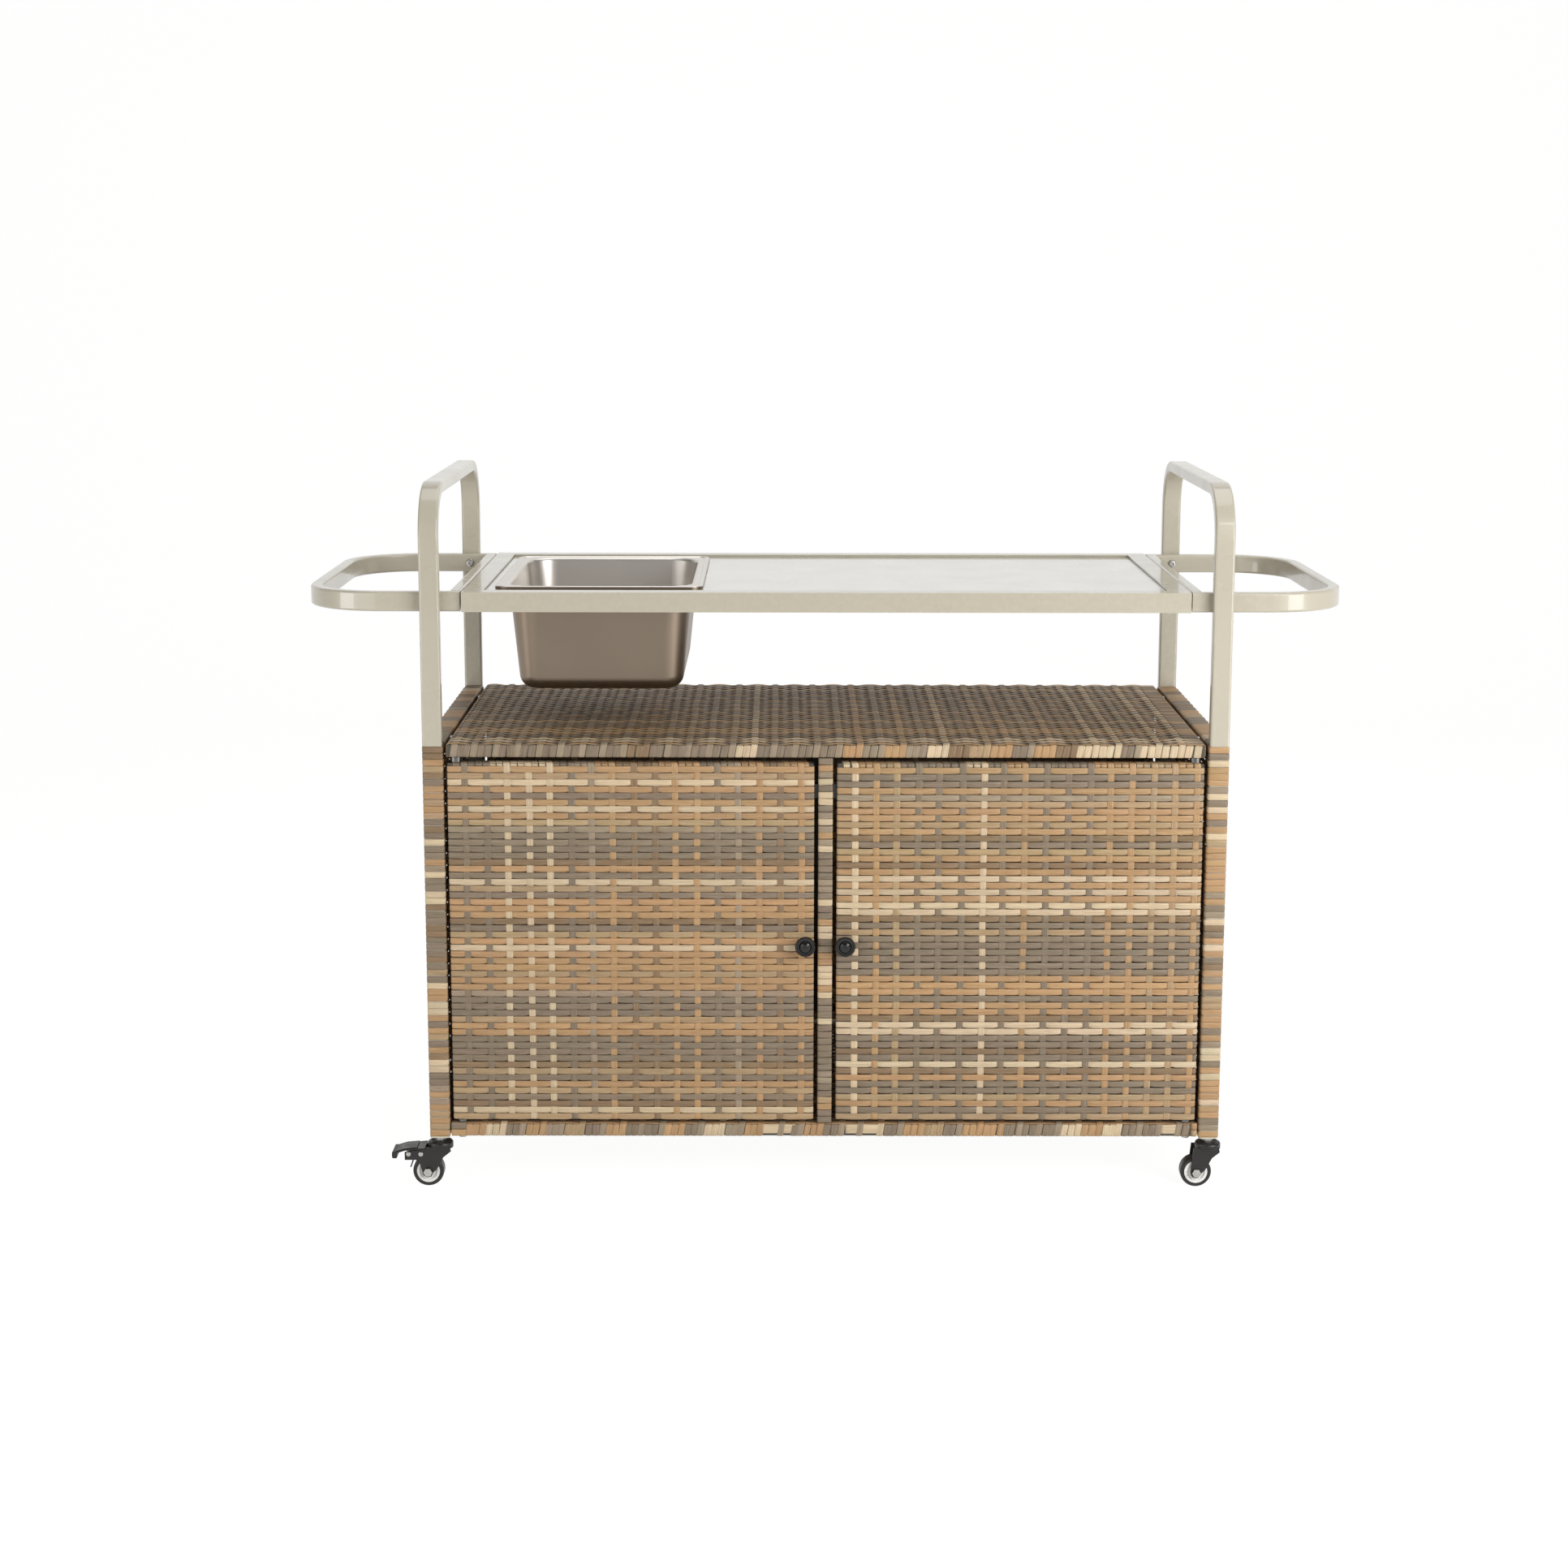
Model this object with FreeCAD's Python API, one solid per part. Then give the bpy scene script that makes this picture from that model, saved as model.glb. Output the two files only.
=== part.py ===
import FreeCAD, Part
import math
import os

V = FreeCAD.Vector
X_AXIS = V(1, 0, 0)
Y_AXIS = V(0, 1, 0)
Z_AXIS = V(0, 0, 1)

# Side hoops, one bent tube each, in millimetres
BODY_W = 1020.0
BODY_D = 490.0
HOOP_TOP = 908.4
LEG_BOTTOM = 66.2
POST_W = 25.0
POST_T = 15.0
TUBE_WALL = 1.2
TUBE_ROUND = 3.0
HOOP_BEND = 60.0

# Flat rattan strand, and how the wraps sit on the tubes
STRAND_T = 1.2
WRAP_GAP = 0.1
WRAP_TOP_DROP = 4.0
WEAVE_ROUND = 2.5

# Woven panels of the cabinet
CABINET_TOP = 583.4
FLOOR_RISE = 19.2
FRAME_W = 20.0
FRAME_T = 15.0
FRAME_WALL = 1.0
PANEL_SIDE_GAP = 3.5
BACK_GAP = 2.5
STILE_W = 16.0
STILE_T = 15.0

# Doors
DOOR_SIDE_GAP = 4.3
DOOR_STILE_GAP = 4.8
DOOR_TOP_GAP = 6.2
DOOR_BOTTOM_GAP = 3.5
PIVOT_D = 6.0
PIVOT_PLAY = 0.05
PIVOT_DEPTH = 12.0
KNOB_D = 26.0
KNOB_REACH = 22.0
KNOB_SCREW_D = 4.0

# Worktop
TABLE_TOP = 773.4
TABLE_RAIL = 25.0
TABLE_END_GAP = 2.0
TABLE_SETBACK = 10.5
LEDGE_W = 10.0
SHEET_T = 1.2
SHEET_SIDE_GAP = 0.8
SHEET_SINK = 3.0

# Ice pan
PAN_W = 266.0
PAN_D = 360.0
PAN_H = 137.0
PAN_T = 1.0
PAN_LIP = 3.0
PAN_FLANGE = 15.0
PAN_CORNER = 16.0
PAN_BEAD = 1.2
PAN_BEAD_W = 4.5
PAN_BOTTOM_R = 4.6
PAN_TAPER = 0.1
PAN_FOOT = 18.0
PAN_MARGIN = 36.0
PAN_CLEAR = 2.0
CROSS_GAP = 20.0

# Handles
HANDLE_REACH = 153.0
HANDLE_BEND = 95.0
HANDLE_INSET = 9.5
BOLT_D = 6.0
BOLT_HEAD_D = 11.0
BOLT_HEAD_T = 3.2
BOLT_CLEAR = 0.2

# Casters
WHEEL_D = 40.0
WHEEL_W = 18.0
TREAD_T = 5.0
TRAIL = 15.4
AXLE_D = 6.0
FORK_T = 2.0
FORK_GAP = 1.3
CROWN_D = 33.0
CROWN_T = 2.2
CROWN_CLEAR = 10.5
CUP_H = 6.6
STEM_D = 8.0
SPIGOT_D = 10.0
PLUG_FLANGE = 2.0
PLUG_DEPTH = 26.0
PEDAL_W = 31.0
PEDAL_REACH = 37.0
PEDAL_RISE = 8.0
PEDAL_T = 1.6
TOE_W = 6.8
TOE_H = 9.0
RIVET_PITCH = 16.0
SHOE_DROP = 20.0

# Places that follow from the sizes above
post_x = BODY_W / 2 - POST_W / 2
post_y = BODY_D / 2 - POST_T / 2
post_in_x = BODY_W / 2 - POST_W
post_in_y = BODY_D / 2 - POST_T
wrapped_in_x = post_in_x - STRAND_T - WRAP_GAP
front_y = -BODY_D / 2 - STRAND_T - WRAP_GAP
panel_t = 3 * STRAND_T + FRAME_T
panel_w = 2 * (wrapped_in_x - PANEL_SIDE_GAP)
panel_d = -2 * front_y
wrap_top = CABINET_TOP - WRAP_TOP_DROP
floor_top = LEG_BOTTOM + FLOOR_RISE
floor_bottom = floor_top - panel_t
top_bottom = CABINET_TOP - panel_t
stile_half = STILE_W / 2 + STRAND_T + WRAP_GAP
door_in = stile_half + DOOR_STILE_GAP
door_out = wrapped_in_x - DOOR_SIDE_GAP
door_w = door_out - door_in
door_low = floor_top + DOOR_BOTTOM_GAP
door_high = top_bottom - DOOR_TOP_GAP
door_h = door_high - door_low
door_mid_z = (door_low + door_high) / 2
pivot_x = door_out - STRAND_T - WRAP_GAP - FRAME_W / 2
pivot_y = front_y + 2 * STRAND_T + FRAME_T / 2
knob_x = door_in + STRAND_T + WRAP_GAP + FRAME_W / 2
handle_in = BODY_W / 2 - POST_W - HANDLE_INSET - POST_T
handle_z = TABLE_TOP - POST_W / 2
table_x = handle_in - TABLE_END_GAP
table_y = BODY_D / 2 - TABLE_SETBACK
sheet_z = TABLE_TOP - SHEET_SINK
pan_x = -table_x + PAN_MARGIN + PAN_W / 2
axle_z = WHEEL_D / 2
crown_z = WHEEL_D + CROWN_CLEAR
cup_z = crown_z + CROWN_T + 0.3
nut_z = cup_z + CUP_H
fork_in = WHEEL_W / 2 + FORK_GAP
fork_out = fork_in + FORK_T
brake_x = -TRAIL - 9.0
brake_z = WHEEL_D + 4.0
far_rivet_x = brake_x - RIVET_PITCH
pedal_in_x = -CROWN_D / 2 - 2.0
pedal_z = brake_z + PEDAL_RISE
axle_nut_t = 5.0

# The frame's origin is on the floor at the centre of the cart's box. The knobs stand out in front.
front_reach = -front_y + KNOB_REACH
back_reach = post_y + fork_out + axle_nut_t + 0.6
origin_y = (front_reach - back_reach) / 2


def box(x0, x1, y0, y1, z0, z1):
    return Part.makeBox(x1 - x0, y1 - y0, z1 - z0, V(x0, y0, z0))


def cylinder(radius, start, along, length):
    return Part.makeCylinder(radius, length, start, along)


def ring(outer, inner, start, along, length):
    return cylinder(outer, start, along, length).cut(cylinder(inner, start, along, length))


def hexagon(across, start, along, length):
    points = []
    for step in range(7):
        turn = math.radians(60 * step)
        points.append(V(math.cos(turn), math.sin(turn), 0) * (across / math.sqrt(3)))
    prism = Part.Face(Part.makePolygon(points)).extrude(V(0, 0, length))
    prism.Placement = FreeCAD.Placement(start, FreeCAD.Rotation(Z_AXIS, along))
    return prism


def rounded_wire(width, depth, radius, z=0.0):
    """A rectangle with round corners about the Z axis."""
    hx, hy = width / 2 - radius, depth / 2 - radius
    edges = []
    for turn in range(4):
        centre = [V(hx, hy, z), V(-hx, hy, z), V(-hx, -hy, z), V(hx, -hy, z)][turn]
        edges.append(Part.makeCircle(radius, centre, Z_AXIS, 90 * turn, 90 * turn + 90))
    sides = []
    for turn in range(4):
        start = edges[turn].Vertexes[-1].Point
        end = edges[(turn + 1) % 4].Vertexes[0].Point
        sides.append(Part.makeLine(start, end))
    return Part.Wire([edge for pair in zip(edges, sides) for edge in pair])


def bar(width, depth, radius, length):
    """A solid bar with round corners, standing on z = 0."""
    return Part.Face(rounded_wire(width, depth, radius)).extrude(V(0, 0, length))


def fused(pieces):
    return pieces[0].multiFuse(pieces[1:]).removeSplitter()


def u_bar(width, thick, radius, span, leg, bend):
    """A solid inverted U in the YZ plane, with its leg ends at z = 0 and span between leg centres."""
    half = span / 2
    run = span - 2 * bend
    start = Part.Face(rounded_wire(width, thick, radius))
    start.translate(V(0, -half, 0))
    up = start.extrude(V(0, 0, leg))
    first = start.translated(V(0, 0, leg)).revolve(V(0, -half + bend, leg), V(-1, 0, 0), 90)
    cross_face = Part.Face(rounded_wire(width, thick, radius))
    cross_face.rotate(V(0, 0, 0), X_AXIS, -90)
    cross_face.translate(V(0, -run / 2, leg + bend))
    cross = cross_face.extrude(V(0, run, 0))
    second = first.mirror(V(0, 0, 0), Y_AXIS)
    down = up.mirror(V(0, 0, 0), Y_AXIS)
    return fused([up, first, cross, second, down])


def straight_tube(width, thick, wall, start, end):
    """A tube from start to end, along Z or along Y, with its width across X."""
    along = end - start
    tube = bar(width, thick, TUBE_ROUND, along.Length)
    tube = tube.cut(bar(width - 2 * wall, thick - 2 * wall, TUBE_ROUND - wall, along.Length))
    if abs(along.y) > 0:
        tube.rotate(V(0, 0, 0), X_AXIS, -90)
    tube.translate(start)
    return tube


def sheet_profile(corners, radii, thick):
    """Two offset sides of a bent sheet, as a closed list of edges in (inward, height) pairs."""
    count = len(corners)
    flat = [V(a, b, 0) for a, b in corners]
    heading = [(flat[i + 1] - flat[i]).normalize() for i in range(count - 1)]
    sides = []
    for shift in (thick / 2, -thick / 2):
        edges = []
        at = flat[0] + V(-heading[0].y, heading[0].x, 0) * shift
        first = at
        for i in range(1, count):
            before = heading[i - 1]
            across = V(-before.y, before.x, 0)
            if i == count - 1:
                end = flat[i] + across * shift
                edges.append(Part.makeLine(at, end))
                at = end
                continue
            after = heading[i]
            turn = before.x * after.y - before.y * after.x
            sign = 1 if turn > 0 else -1
            angle = abs(math.atan2(turn, before.dot(after)))
            cut = radii[i - 1] * math.tan(angle / 2)
            centre = flat[i] - before * cut + across * (sign * radii[i - 1])
            reach = radii[i - 1] - sign * shift
            leave = centre - across * (sign * reach)
            next_across = V(-after.y, after.x, 0)
            join = centre - next_across * (sign * reach)
            middle = centre - (across + next_across).normalize() * (sign * reach)
            edges.append(Part.makeLine(at, leave))
            edges.append(Part.Arc(leave, middle, join).toShape())
            at = join
        sides.append((edges, first, at))
    caps = [Part.makeLine(sides[0][1], sides[1][1]), Part.makeLine(sides[0][2], sides[1][2])]
    loop = Part.Wire(Part.__sortEdges__(sides[0][0] + sides[1][0] + caps))
    return Part.Face(loop)


def sweep_round(profile, width, depth, radius):
    """Carries an (inward, height) profile once round a rectangle with round corners."""
    upright = profile.copy()
    upright.rotate(V(0, 0, 0), X_AXIS, 90)
    upright.rotate(V(0, 0, 0), Z_AXIS, 90)
    pieces = []
    for side in range(4):
        run = (width if side % 2 == 0 else depth) - 2 * radius
        away = (depth if side % 2 == 0 else width) / 2
        face = upright.translated(V(-run / 2, -away, 0))
        straight = face.extrude(V(run, 0, 0))
        corner_face = upright.translated(V(run / 2, -away, 0))
        corner = corner_face.revolve(V(run / 2, -away + radius, 0), Z_AXIS, 90)
        for piece in (straight, corner):
            piece.rotate(V(0, 0, 0), Z_AXIS, 90 * side)
            pieces.append(piece)
    return pieces


def ring_frame(width, depth, tube_w, tube_t, wall, mids=()):
    """A welded rectangle of tube below z = 0, with cross tubes at the x places in mids."""
    hx, hy = width / 2, depth / 2
    frame = box(-hx, hx, -hy, hy, -tube_t, 0)
    space = box(-hx + wall, hx - wall, -hy + wall, hy - wall, -tube_t + wall, -wall)
    edges = [-hx + tube_w] + [x + s * tube_w / 2 for x in mids for s in (-1, 1)] + [hx - tube_w]
    for left, right in zip(edges[0::2], edges[1::2]):
        frame = frame.cut(box(left, right, -hy + tube_w, hy - tube_w, -tube_t, 0))
        near = box(left - wall, right + wall, -hy + tube_w - wall, hy - tube_w + wall, -tube_t, 0)
        space = space.cut(near)
    return frame.cut(space)


def woven_panel(width, depth, mids=()):
    """A frame and its skin. The woven face is at z = 0 and the frame lies below it."""
    inset = STRAND_T + WRAP_GAP
    frame_top = -2 * STRAND_T
    frame = ring_frame(width - 2 * inset, depth - 2 * inset, FRAME_W, FRAME_T - WRAP_GAP, FRAME_WALL, mids)
    frame.translate(V(0, 0, frame_top - WRAP_GAP / 2))
    hx, hy = width / 2, depth / 2
    skin = box(-hx, hx, -hy, hy, -panel_t, 0)
    skin = skin.makeFillet(WEAVE_ROUND, skin.Edges)
    low = -panel_t + STRAND_T
    skin = skin.cut(box(-hx + STRAND_T, hx - STRAND_T, -hy + STRAND_T, hy - STRAND_T, low, frame_top))
    lip = STRAND_T + FRAME_W
    return frame, skin.cut(box(-hx + lip, hx - lip, -hy + lip, hy - lip, -panel_t, low))


def button_bolt(start, along, length):
    """A round-head socket bolt with its head's seat at start and its shank along the axis."""
    head = cylinder(BOLT_HEAD_D / 2, V(0, 0, -BOLT_HEAD_T), Z_AXIS, BOLT_HEAD_T)
    head = head.makeFillet(BOLT_HEAD_T * 0.7, [head.Edges[2]])
    socket = hexagon(BOLT_D * 0.66, V(0, 0, -BOLT_HEAD_T), Z_AXIS, BOLT_HEAD_T * 0.6)
    shank = cylinder(BOLT_D / 2, V(0, 0, 0), Z_AXIS, length)
    bolt = head.fuse(shank).cut(socket)
    bolt.Placement = FreeCAD.Placement(start, FreeCAD.Rotation(Z_AXIS, along))
    return bolt


def bolt_hole(start, along, length):
    return cylinder(BOLT_D / 2 + BOLT_CLEAR, start, along, length)


def turned(points):
    """A solid of revolution about Z from (radius, height) points."""
    outline = Part.makePolygon([V(r, 0, z) for r, z in points + points[:1]])
    return Part.Face(outline).revolve(V(0, 0, 0), Z_AXIS, 360)


def mirrored(shape):
    return shape.mirror(V(0, 0, 0), X_AXIS)


nodes = {}

# Where the bolts run: handles to posts, worktop to handles, panels to side rails
handle_bolt_sites = [(sx * post_x, sy) for sx in (-1, 1) for sy in (-1, 1)]
table_bolt_y = [-table_y * 0.6, table_y * 0.6]
panel_bolt_y = [-panel_d / 3, panel_d / 3]
rail_drop = STRAND_T + WRAP_GAP
rail_top_z = CABINET_TOP - rail_drop - POST_T / 2
rail_low_z = floor_bottom + rail_drop + POST_T / 2
top_bolt_z = CABINET_TOP - 2 * STRAND_T - FRAME_T / 2
low_bolt_z = floor_top - 2 * STRAND_T - FRAME_T / 2
panel_bolts = [(y, z) for z in (top_bolt_z, low_bolt_z) for y in panel_bolt_y]
panel_bolt_in = panel_w / 2 - STRAND_T - FRAME_W - WRAP_GAP
panel_bolt_len = post_x - panel_bolt_in

# Hoops
leg_run = HOOP_TOP - POST_T / 2 - HOOP_BEND - LEG_BOTTOM
bore_sizes = (POST_W - 2 * TUBE_WALL, POST_T - 2 * TUBE_WALL, TUBE_ROUND - TUBE_WALL)
hoop = u_bar(POST_W, POST_T, TUBE_ROUND, BODY_D - POST_T, leg_run, HOOP_BEND)
hoop = hoop.cut(u_bar(*bore_sizes, BODY_D - POST_T, leg_run, HOOP_BEND))
hoop.translate(V(post_x, 0, LEG_BOTTOM))
for side in (-1, 1):
    start = V(post_x, side * (post_in_y - 1), handle_z)
    hoop = hoop.cut(bolt_hole(start, Y_AXIS * side, TUBE_WALL + 2))
nodes["right_hoop"] = hoop
nodes["left_hoop"] = mirrored(hoop)

# Side rails, welded between the legs
rails = []
for z in (rail_low_z, rail_top_z):
    rail = straight_tube(POST_W, POST_T, TUBE_WALL, V(post_x, -post_in_y, z), V(post_x, post_in_y, z))
    for y, bolt_z in panel_bolts:
        rail = rail.cut(bolt_hole(V(post_in_x - 1, y, bolt_z), X_AXIS, TUBE_WALL + 2))
    rails.append(rail)
nodes["right_side_rails"] = Part.makeCompound(rails)
nodes["left_side_rails"] = mirrored(nodes["right_side_rails"])

# Side weave: sleeves round the legs and rails, and the sheet between them
sleeve_w = POST_W + 2 * rail_drop
sleeve_t = POST_T + 2 * rail_drop
sleeve_round = TUBE_ROUND + STRAND_T
sleeve_in_y = post_in_y - rail_drop
pieces = []
for side in (-1, 1):
    leg = bar(sleeve_w, sleeve_t, sleeve_round, wrap_top - LEG_BOTTOM)
    pieces.append(leg.translated(V(post_x, side * post_y, LEG_BOTTOM)))
for z in (rail_low_z, rail_top_z):
    sleeve = bar(sleeve_w, sleeve_t, sleeve_round, 2 * sleeve_in_y)
    sleeve.rotate(V(0, 0, 0), X_AXIS, -90)
    pieces.append(sleeve.translated(V(post_x, -sleeve_in_y, z)))
sheet_out = BODY_W / 2 + rail_drop
sheet_in = sheet_out - 2 * STRAND_T
pieces.append(box(sheet_in, sheet_out, -post_y, post_y, rail_low_z, rail_top_z))
weave = fused(pieces)
bore_w = POST_W + 2 * WRAP_GAP
bore_t = POST_T + 2 * WRAP_GAP
for side in (-1, 1):
    bore = bar(bore_w, bore_t, TUBE_ROUND, HOOP_TOP)
    weave = weave.cut(bore.translated(V(post_x, side * post_y, 0)))
for z in (rail_low_z, rail_top_z):
    bore = bar(bore_w, bore_t, TUBE_ROUND, 2 * post_in_y)
    bore.rotate(V(0, 0, 0), X_AXIS, -90)
    weave = weave.cut(bore.translated(V(post_x, -post_in_y, z)))
for y, z in panel_bolts:
    weave = weave.cut(bolt_hole(V(wrapped_in_x - 1, y, z), X_AXIS, rail_drop + 2))
nodes["right_side_weave"] = weave
nodes["left_side_weave"] = mirrored(weave)

# Cabinet top and floor, which are alike, with their holes for bolts and door pins
plate_frame, plate_skin = woven_panel(panel_w, panel_d, (0.0,))
pin_mid_z = -2 * STRAND_T - FRAME_T / 2
for side in (-1, 1):
    for y in panel_bolt_y:
        hole = bolt_hole(V(side * (panel_bolt_in - 1), y, pin_mid_z), X_AXIS * side, FRAME_W + 5)
        plate_frame = plate_frame.cut(hole)
        plate_skin = plate_skin.cut(hole)
pin_hole_r = PIVOT_D / 2 + PIVOT_PLAY
floor_frame, floor_skin = plate_frame, plate_skin
top_frame, top_skin = plate_frame, plate_skin
for side in (-1, 1):
    through = cylinder(pin_hole_r, V(side * pivot_x, pivot_y, -panel_t - 1), Z_AXIS, panel_t + 2)
    start = V(side * pivot_x, pivot_y, -panel_t - 1)
    half_way = cylinder(pin_hole_r, start, Z_AXIS, panel_t - 3 * STRAND_T)
    floor_frame = floor_frame.cut(through)
    floor_skin = floor_skin.cut(through)
    top_frame = top_frame.cut(half_way)
    top_skin = top_skin.cut(half_way)
nodes["cabinet_top_frame"] = top_frame.translated(V(0, 0, CABINET_TOP))
nodes["cabinet_top_weave"] = top_skin.translated(V(0, 0, CABINET_TOP))
nodes["cabinet_floor_frame"] = floor_frame.translated(V(0, 0, floor_top))
nodes["cabinet_floor_weave"] = floor_skin.translated(V(0, 0, floor_top))

# Back panel
back_low = floor_top + BACK_GAP
back_high = top_bottom - BACK_GAP
back_parts = woven_panel(panel_w, back_high - back_low, (0.0,))
back_foot_x = [-panel_w / 4, panel_w / 4]
for name, shape in zip(("back_panel_frame", "back_panel_weave"), back_parts):
    shape.rotate(V(0, 0, 0), X_AXIS, 90)
    shape.rotate(V(0, 0, 0), Z_AXIS, 180)
    shape.translate(V(0, -front_y, (back_low + back_high) / 2))
    nodes[name] = shape
back_pad_y = -front_y - panel_t / 2
pads = []
for x in back_foot_x:
    pads.append(cylinder(BOLT_HEAD_D / 2, V(x, back_pad_y, floor_top), Z_AXIS, BACK_GAP))
    pads.append(cylinder(BOLT_HEAD_D / 2, V(x, back_pad_y, back_high), Z_AXIS, BACK_GAP))
nodes["back_panel_pads"] = Part.makeCompound(pads)

# Centre stile and its wrap
stile_y = -BODY_D / 2 + STILE_T / 2
stile = straight_tube(STILE_W, STILE_T, TUBE_WALL, V(0, stile_y, floor_top), V(0, stile_y, top_bottom))
nodes["center_stile"] = stile
stile_h = top_bottom - floor_top
stile_wrap = bar(STILE_W + 2 * rail_drop, STILE_T + 2 * rail_drop, sleeve_round, stile_h)
stile_wrap = stile_wrap.cut(bar(STILE_W + 2 * WRAP_GAP, STILE_T + 2 * WRAP_GAP, TUBE_ROUND, stile_h))
nodes["center_stile_wrap"] = stile_wrap.translated(V(0, stile_y, floor_top))

# Magnetic catch behind the stile, and a strike plate behind each door
strike_t = 1.0
strike_w = 14.0
strike_h = 30.0
catch_gap = 0.3
catch_t = 13.0
catch_drop = 40.0
catch_z = door_high - catch_drop
door_back = front_y + panel_t
catch_front = door_back + strike_t + catch_gap
stile_back = stile_y + STILE_T / 2 + rail_drop
catch_half = door_in + FRAME_W
catch_body = box(-catch_half, catch_half, catch_front, catch_front + catch_t, catch_z - 9, catch_z + 9)
catch_body = catch_body.makeFillet(2.0, [e for e in catch_body.Edges if abs(e.tangentAt(0).z) < 0.5][:4])
spacer = box(-STILE_W / 2, STILE_W / 2, stile_back, catch_front + 1, catch_z - 14, catch_z + 14)
catch = catch_body.fuse(spacer)
for side in (-1, 1):
    magnet = box(-5, 5, catch_front, catch_front + 2, catch_z - 7.5, catch_z - 5.0)
    for lift in (0.0, 12.5):
        catch = catch.cut(magnet.translated(V(side * (door_in + FRAME_W / 2), 0, lift)))
nodes["door_catch"] = catch.removeSplitter()

# Doors, built as the right-hand one about its own middle and then placed
door_frame, door_skin = woven_panel(door_w, door_h)
door_mid_x = (door_in + door_out) / 2
pivot_local = pivot_x - door_mid_x
knob_local = knob_x - door_mid_x
frame_mid = -2 * STRAND_T - FRAME_T / 2
bush_len = PIVOT_DEPTH + 3.0
for side in (-1, 1):
    edge = side * (door_h / 2 - STRAND_T - WRAP_GAP)
    start = V(pivot_local, edge - side * bush_len, frame_mid)
    bush = cylinder(FRAME_T * 0.36, start, Y_AXIS * side, bush_len)
    door_frame = door_frame.fuse(bush)
for side in (-1, 1):
    start = V(pivot_local, side * (door_h / 2 + 1), frame_mid)
    hole = cylinder(pin_hole_r, start, Y_AXIS * -side, PIVOT_DEPTH + 2.5)
    door_frame = door_frame.cut(hole)
    door_skin = door_skin.cut(hole)
screw_hole = cylinder(KNOB_SCREW_D / 2 + 0.1, V(knob_local, 0, -panel_t - 1), Z_AXIS, panel_t + 2)
door_frame = door_frame.cut(screw_hole)
door_skin = door_skin.cut(screw_hole)
strike = box(-strike_w / 2, strike_w / 2, -strike_h / 2, strike_h / 2, -panel_t - strike_t, -panel_t)
strike = strike.makeFillet(3.0, [e for e in strike.Edges if abs(e.tangentAt(0).z) > 0.5])
strike = strike.translated(V(knob_local, catch_z - door_mid_z, 0))
knob_r = KNOB_D / 2
knob = turned(
    [
        (0, 0),
        (knob_r * 0.62, 0),
        (knob_r * 0.62, KNOB_REACH * 0.1),
        (knob_r * 0.42, KNOB_REACH * 0.2),
        (knob_r * 0.42, KNOB_REACH * 0.42),
        (knob_r * 0.8, KNOB_REACH * 0.58),
        (knob_r, KNOB_REACH * 0.7),
        (knob_r, KNOB_REACH * 0.82),
        (knob_r * 0.92, KNOB_REACH * 0.9),
        (knob_r * 0.78, KNOB_REACH * 0.9),
        (knob_r * 0.74, KNOB_REACH * 0.84),
        (knob_r * 0.62, KNOB_REACH * 0.84),
        (knob_r * 0.5, KNOB_REACH * 0.94),
        (knob_r * 0.28, KNOB_REACH * 0.99),
        (0, KNOB_REACH),
    ]
)
screw = cylinder(KNOB_SCREW_D / 2, V(0, 0, -panel_t), Z_AXIS, panel_t)
head_low = -panel_t - 2.2
screw_head = turned([(0, head_low), (2.4, head_low), (4.0, head_low + 1.0), (4.0, -panel_t), (0, -panel_t)])
knob = fused([knob, screw, screw_head]).translated(V(knob_local, 0, 0))
door_nodes = {"door_frame": door_frame, "door_weave": door_skin, "door_knob": knob, "strike_plate": strike}
for name, shape in door_nodes.items():
    placed = shape.copy()
    placed.rotate(V(0, 0, 0), X_AXIS, 90)
    placed.translate(V(door_mid_x, front_y, door_mid_z))
    nodes["right_" + name] = placed
    nodes["left_" + name] = mirrored(placed)

# Door pins and washers
pins = []
washers = []
for side in (-1, 1):
    start = V(side * pivot_x, pivot_y, floor_bottom)
    low_pin = button_bolt(start, Z_AXIS, door_low + PIVOT_DEPTH - floor_bottom)
    pins.append(low_pin)
    pin_top = top_bottom + FRAME_T * 0.5
    pin_low = door_high - PIVOT_DEPTH
    pins.append(cylinder(PIVOT_D / 2, V(side * pivot_x, pivot_y, pin_low), Z_AXIS, pin_top - pin_low))
    for z, gap in ((floor_top, DOOR_BOTTOM_GAP), (door_high, DOOR_TOP_GAP)):
        washers.append(ring(7.0, pin_hole_r, V(side * pivot_x, pivot_y, z + 0.2), Z_AXIS, gap - 0.4))
nodes["door_pins"] = Part.makeCompound(pins)
nodes["door_washers"] = Part.makeCompound(washers)

# Bolts that hold the cabinet's top and floor to the side rails, with a spacer in each gap
bolts = []
for side in (-1, 1):
    for y, z in panel_bolts:
        bolts.append(button_bolt(V(side * panel_bolt_in, y, z), X_AXIS * side, panel_bolt_len))
        start = V(side * panel_w / 2, y, z)
        bolts.append(ring(BOLT_HEAD_D / 2, BOLT_D / 2 + 0.1, start, X_AXIS * side, PANEL_SIDE_GAP))
nodes["cabinet_bolts"] = Part.makeCompound(bolts)

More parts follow.
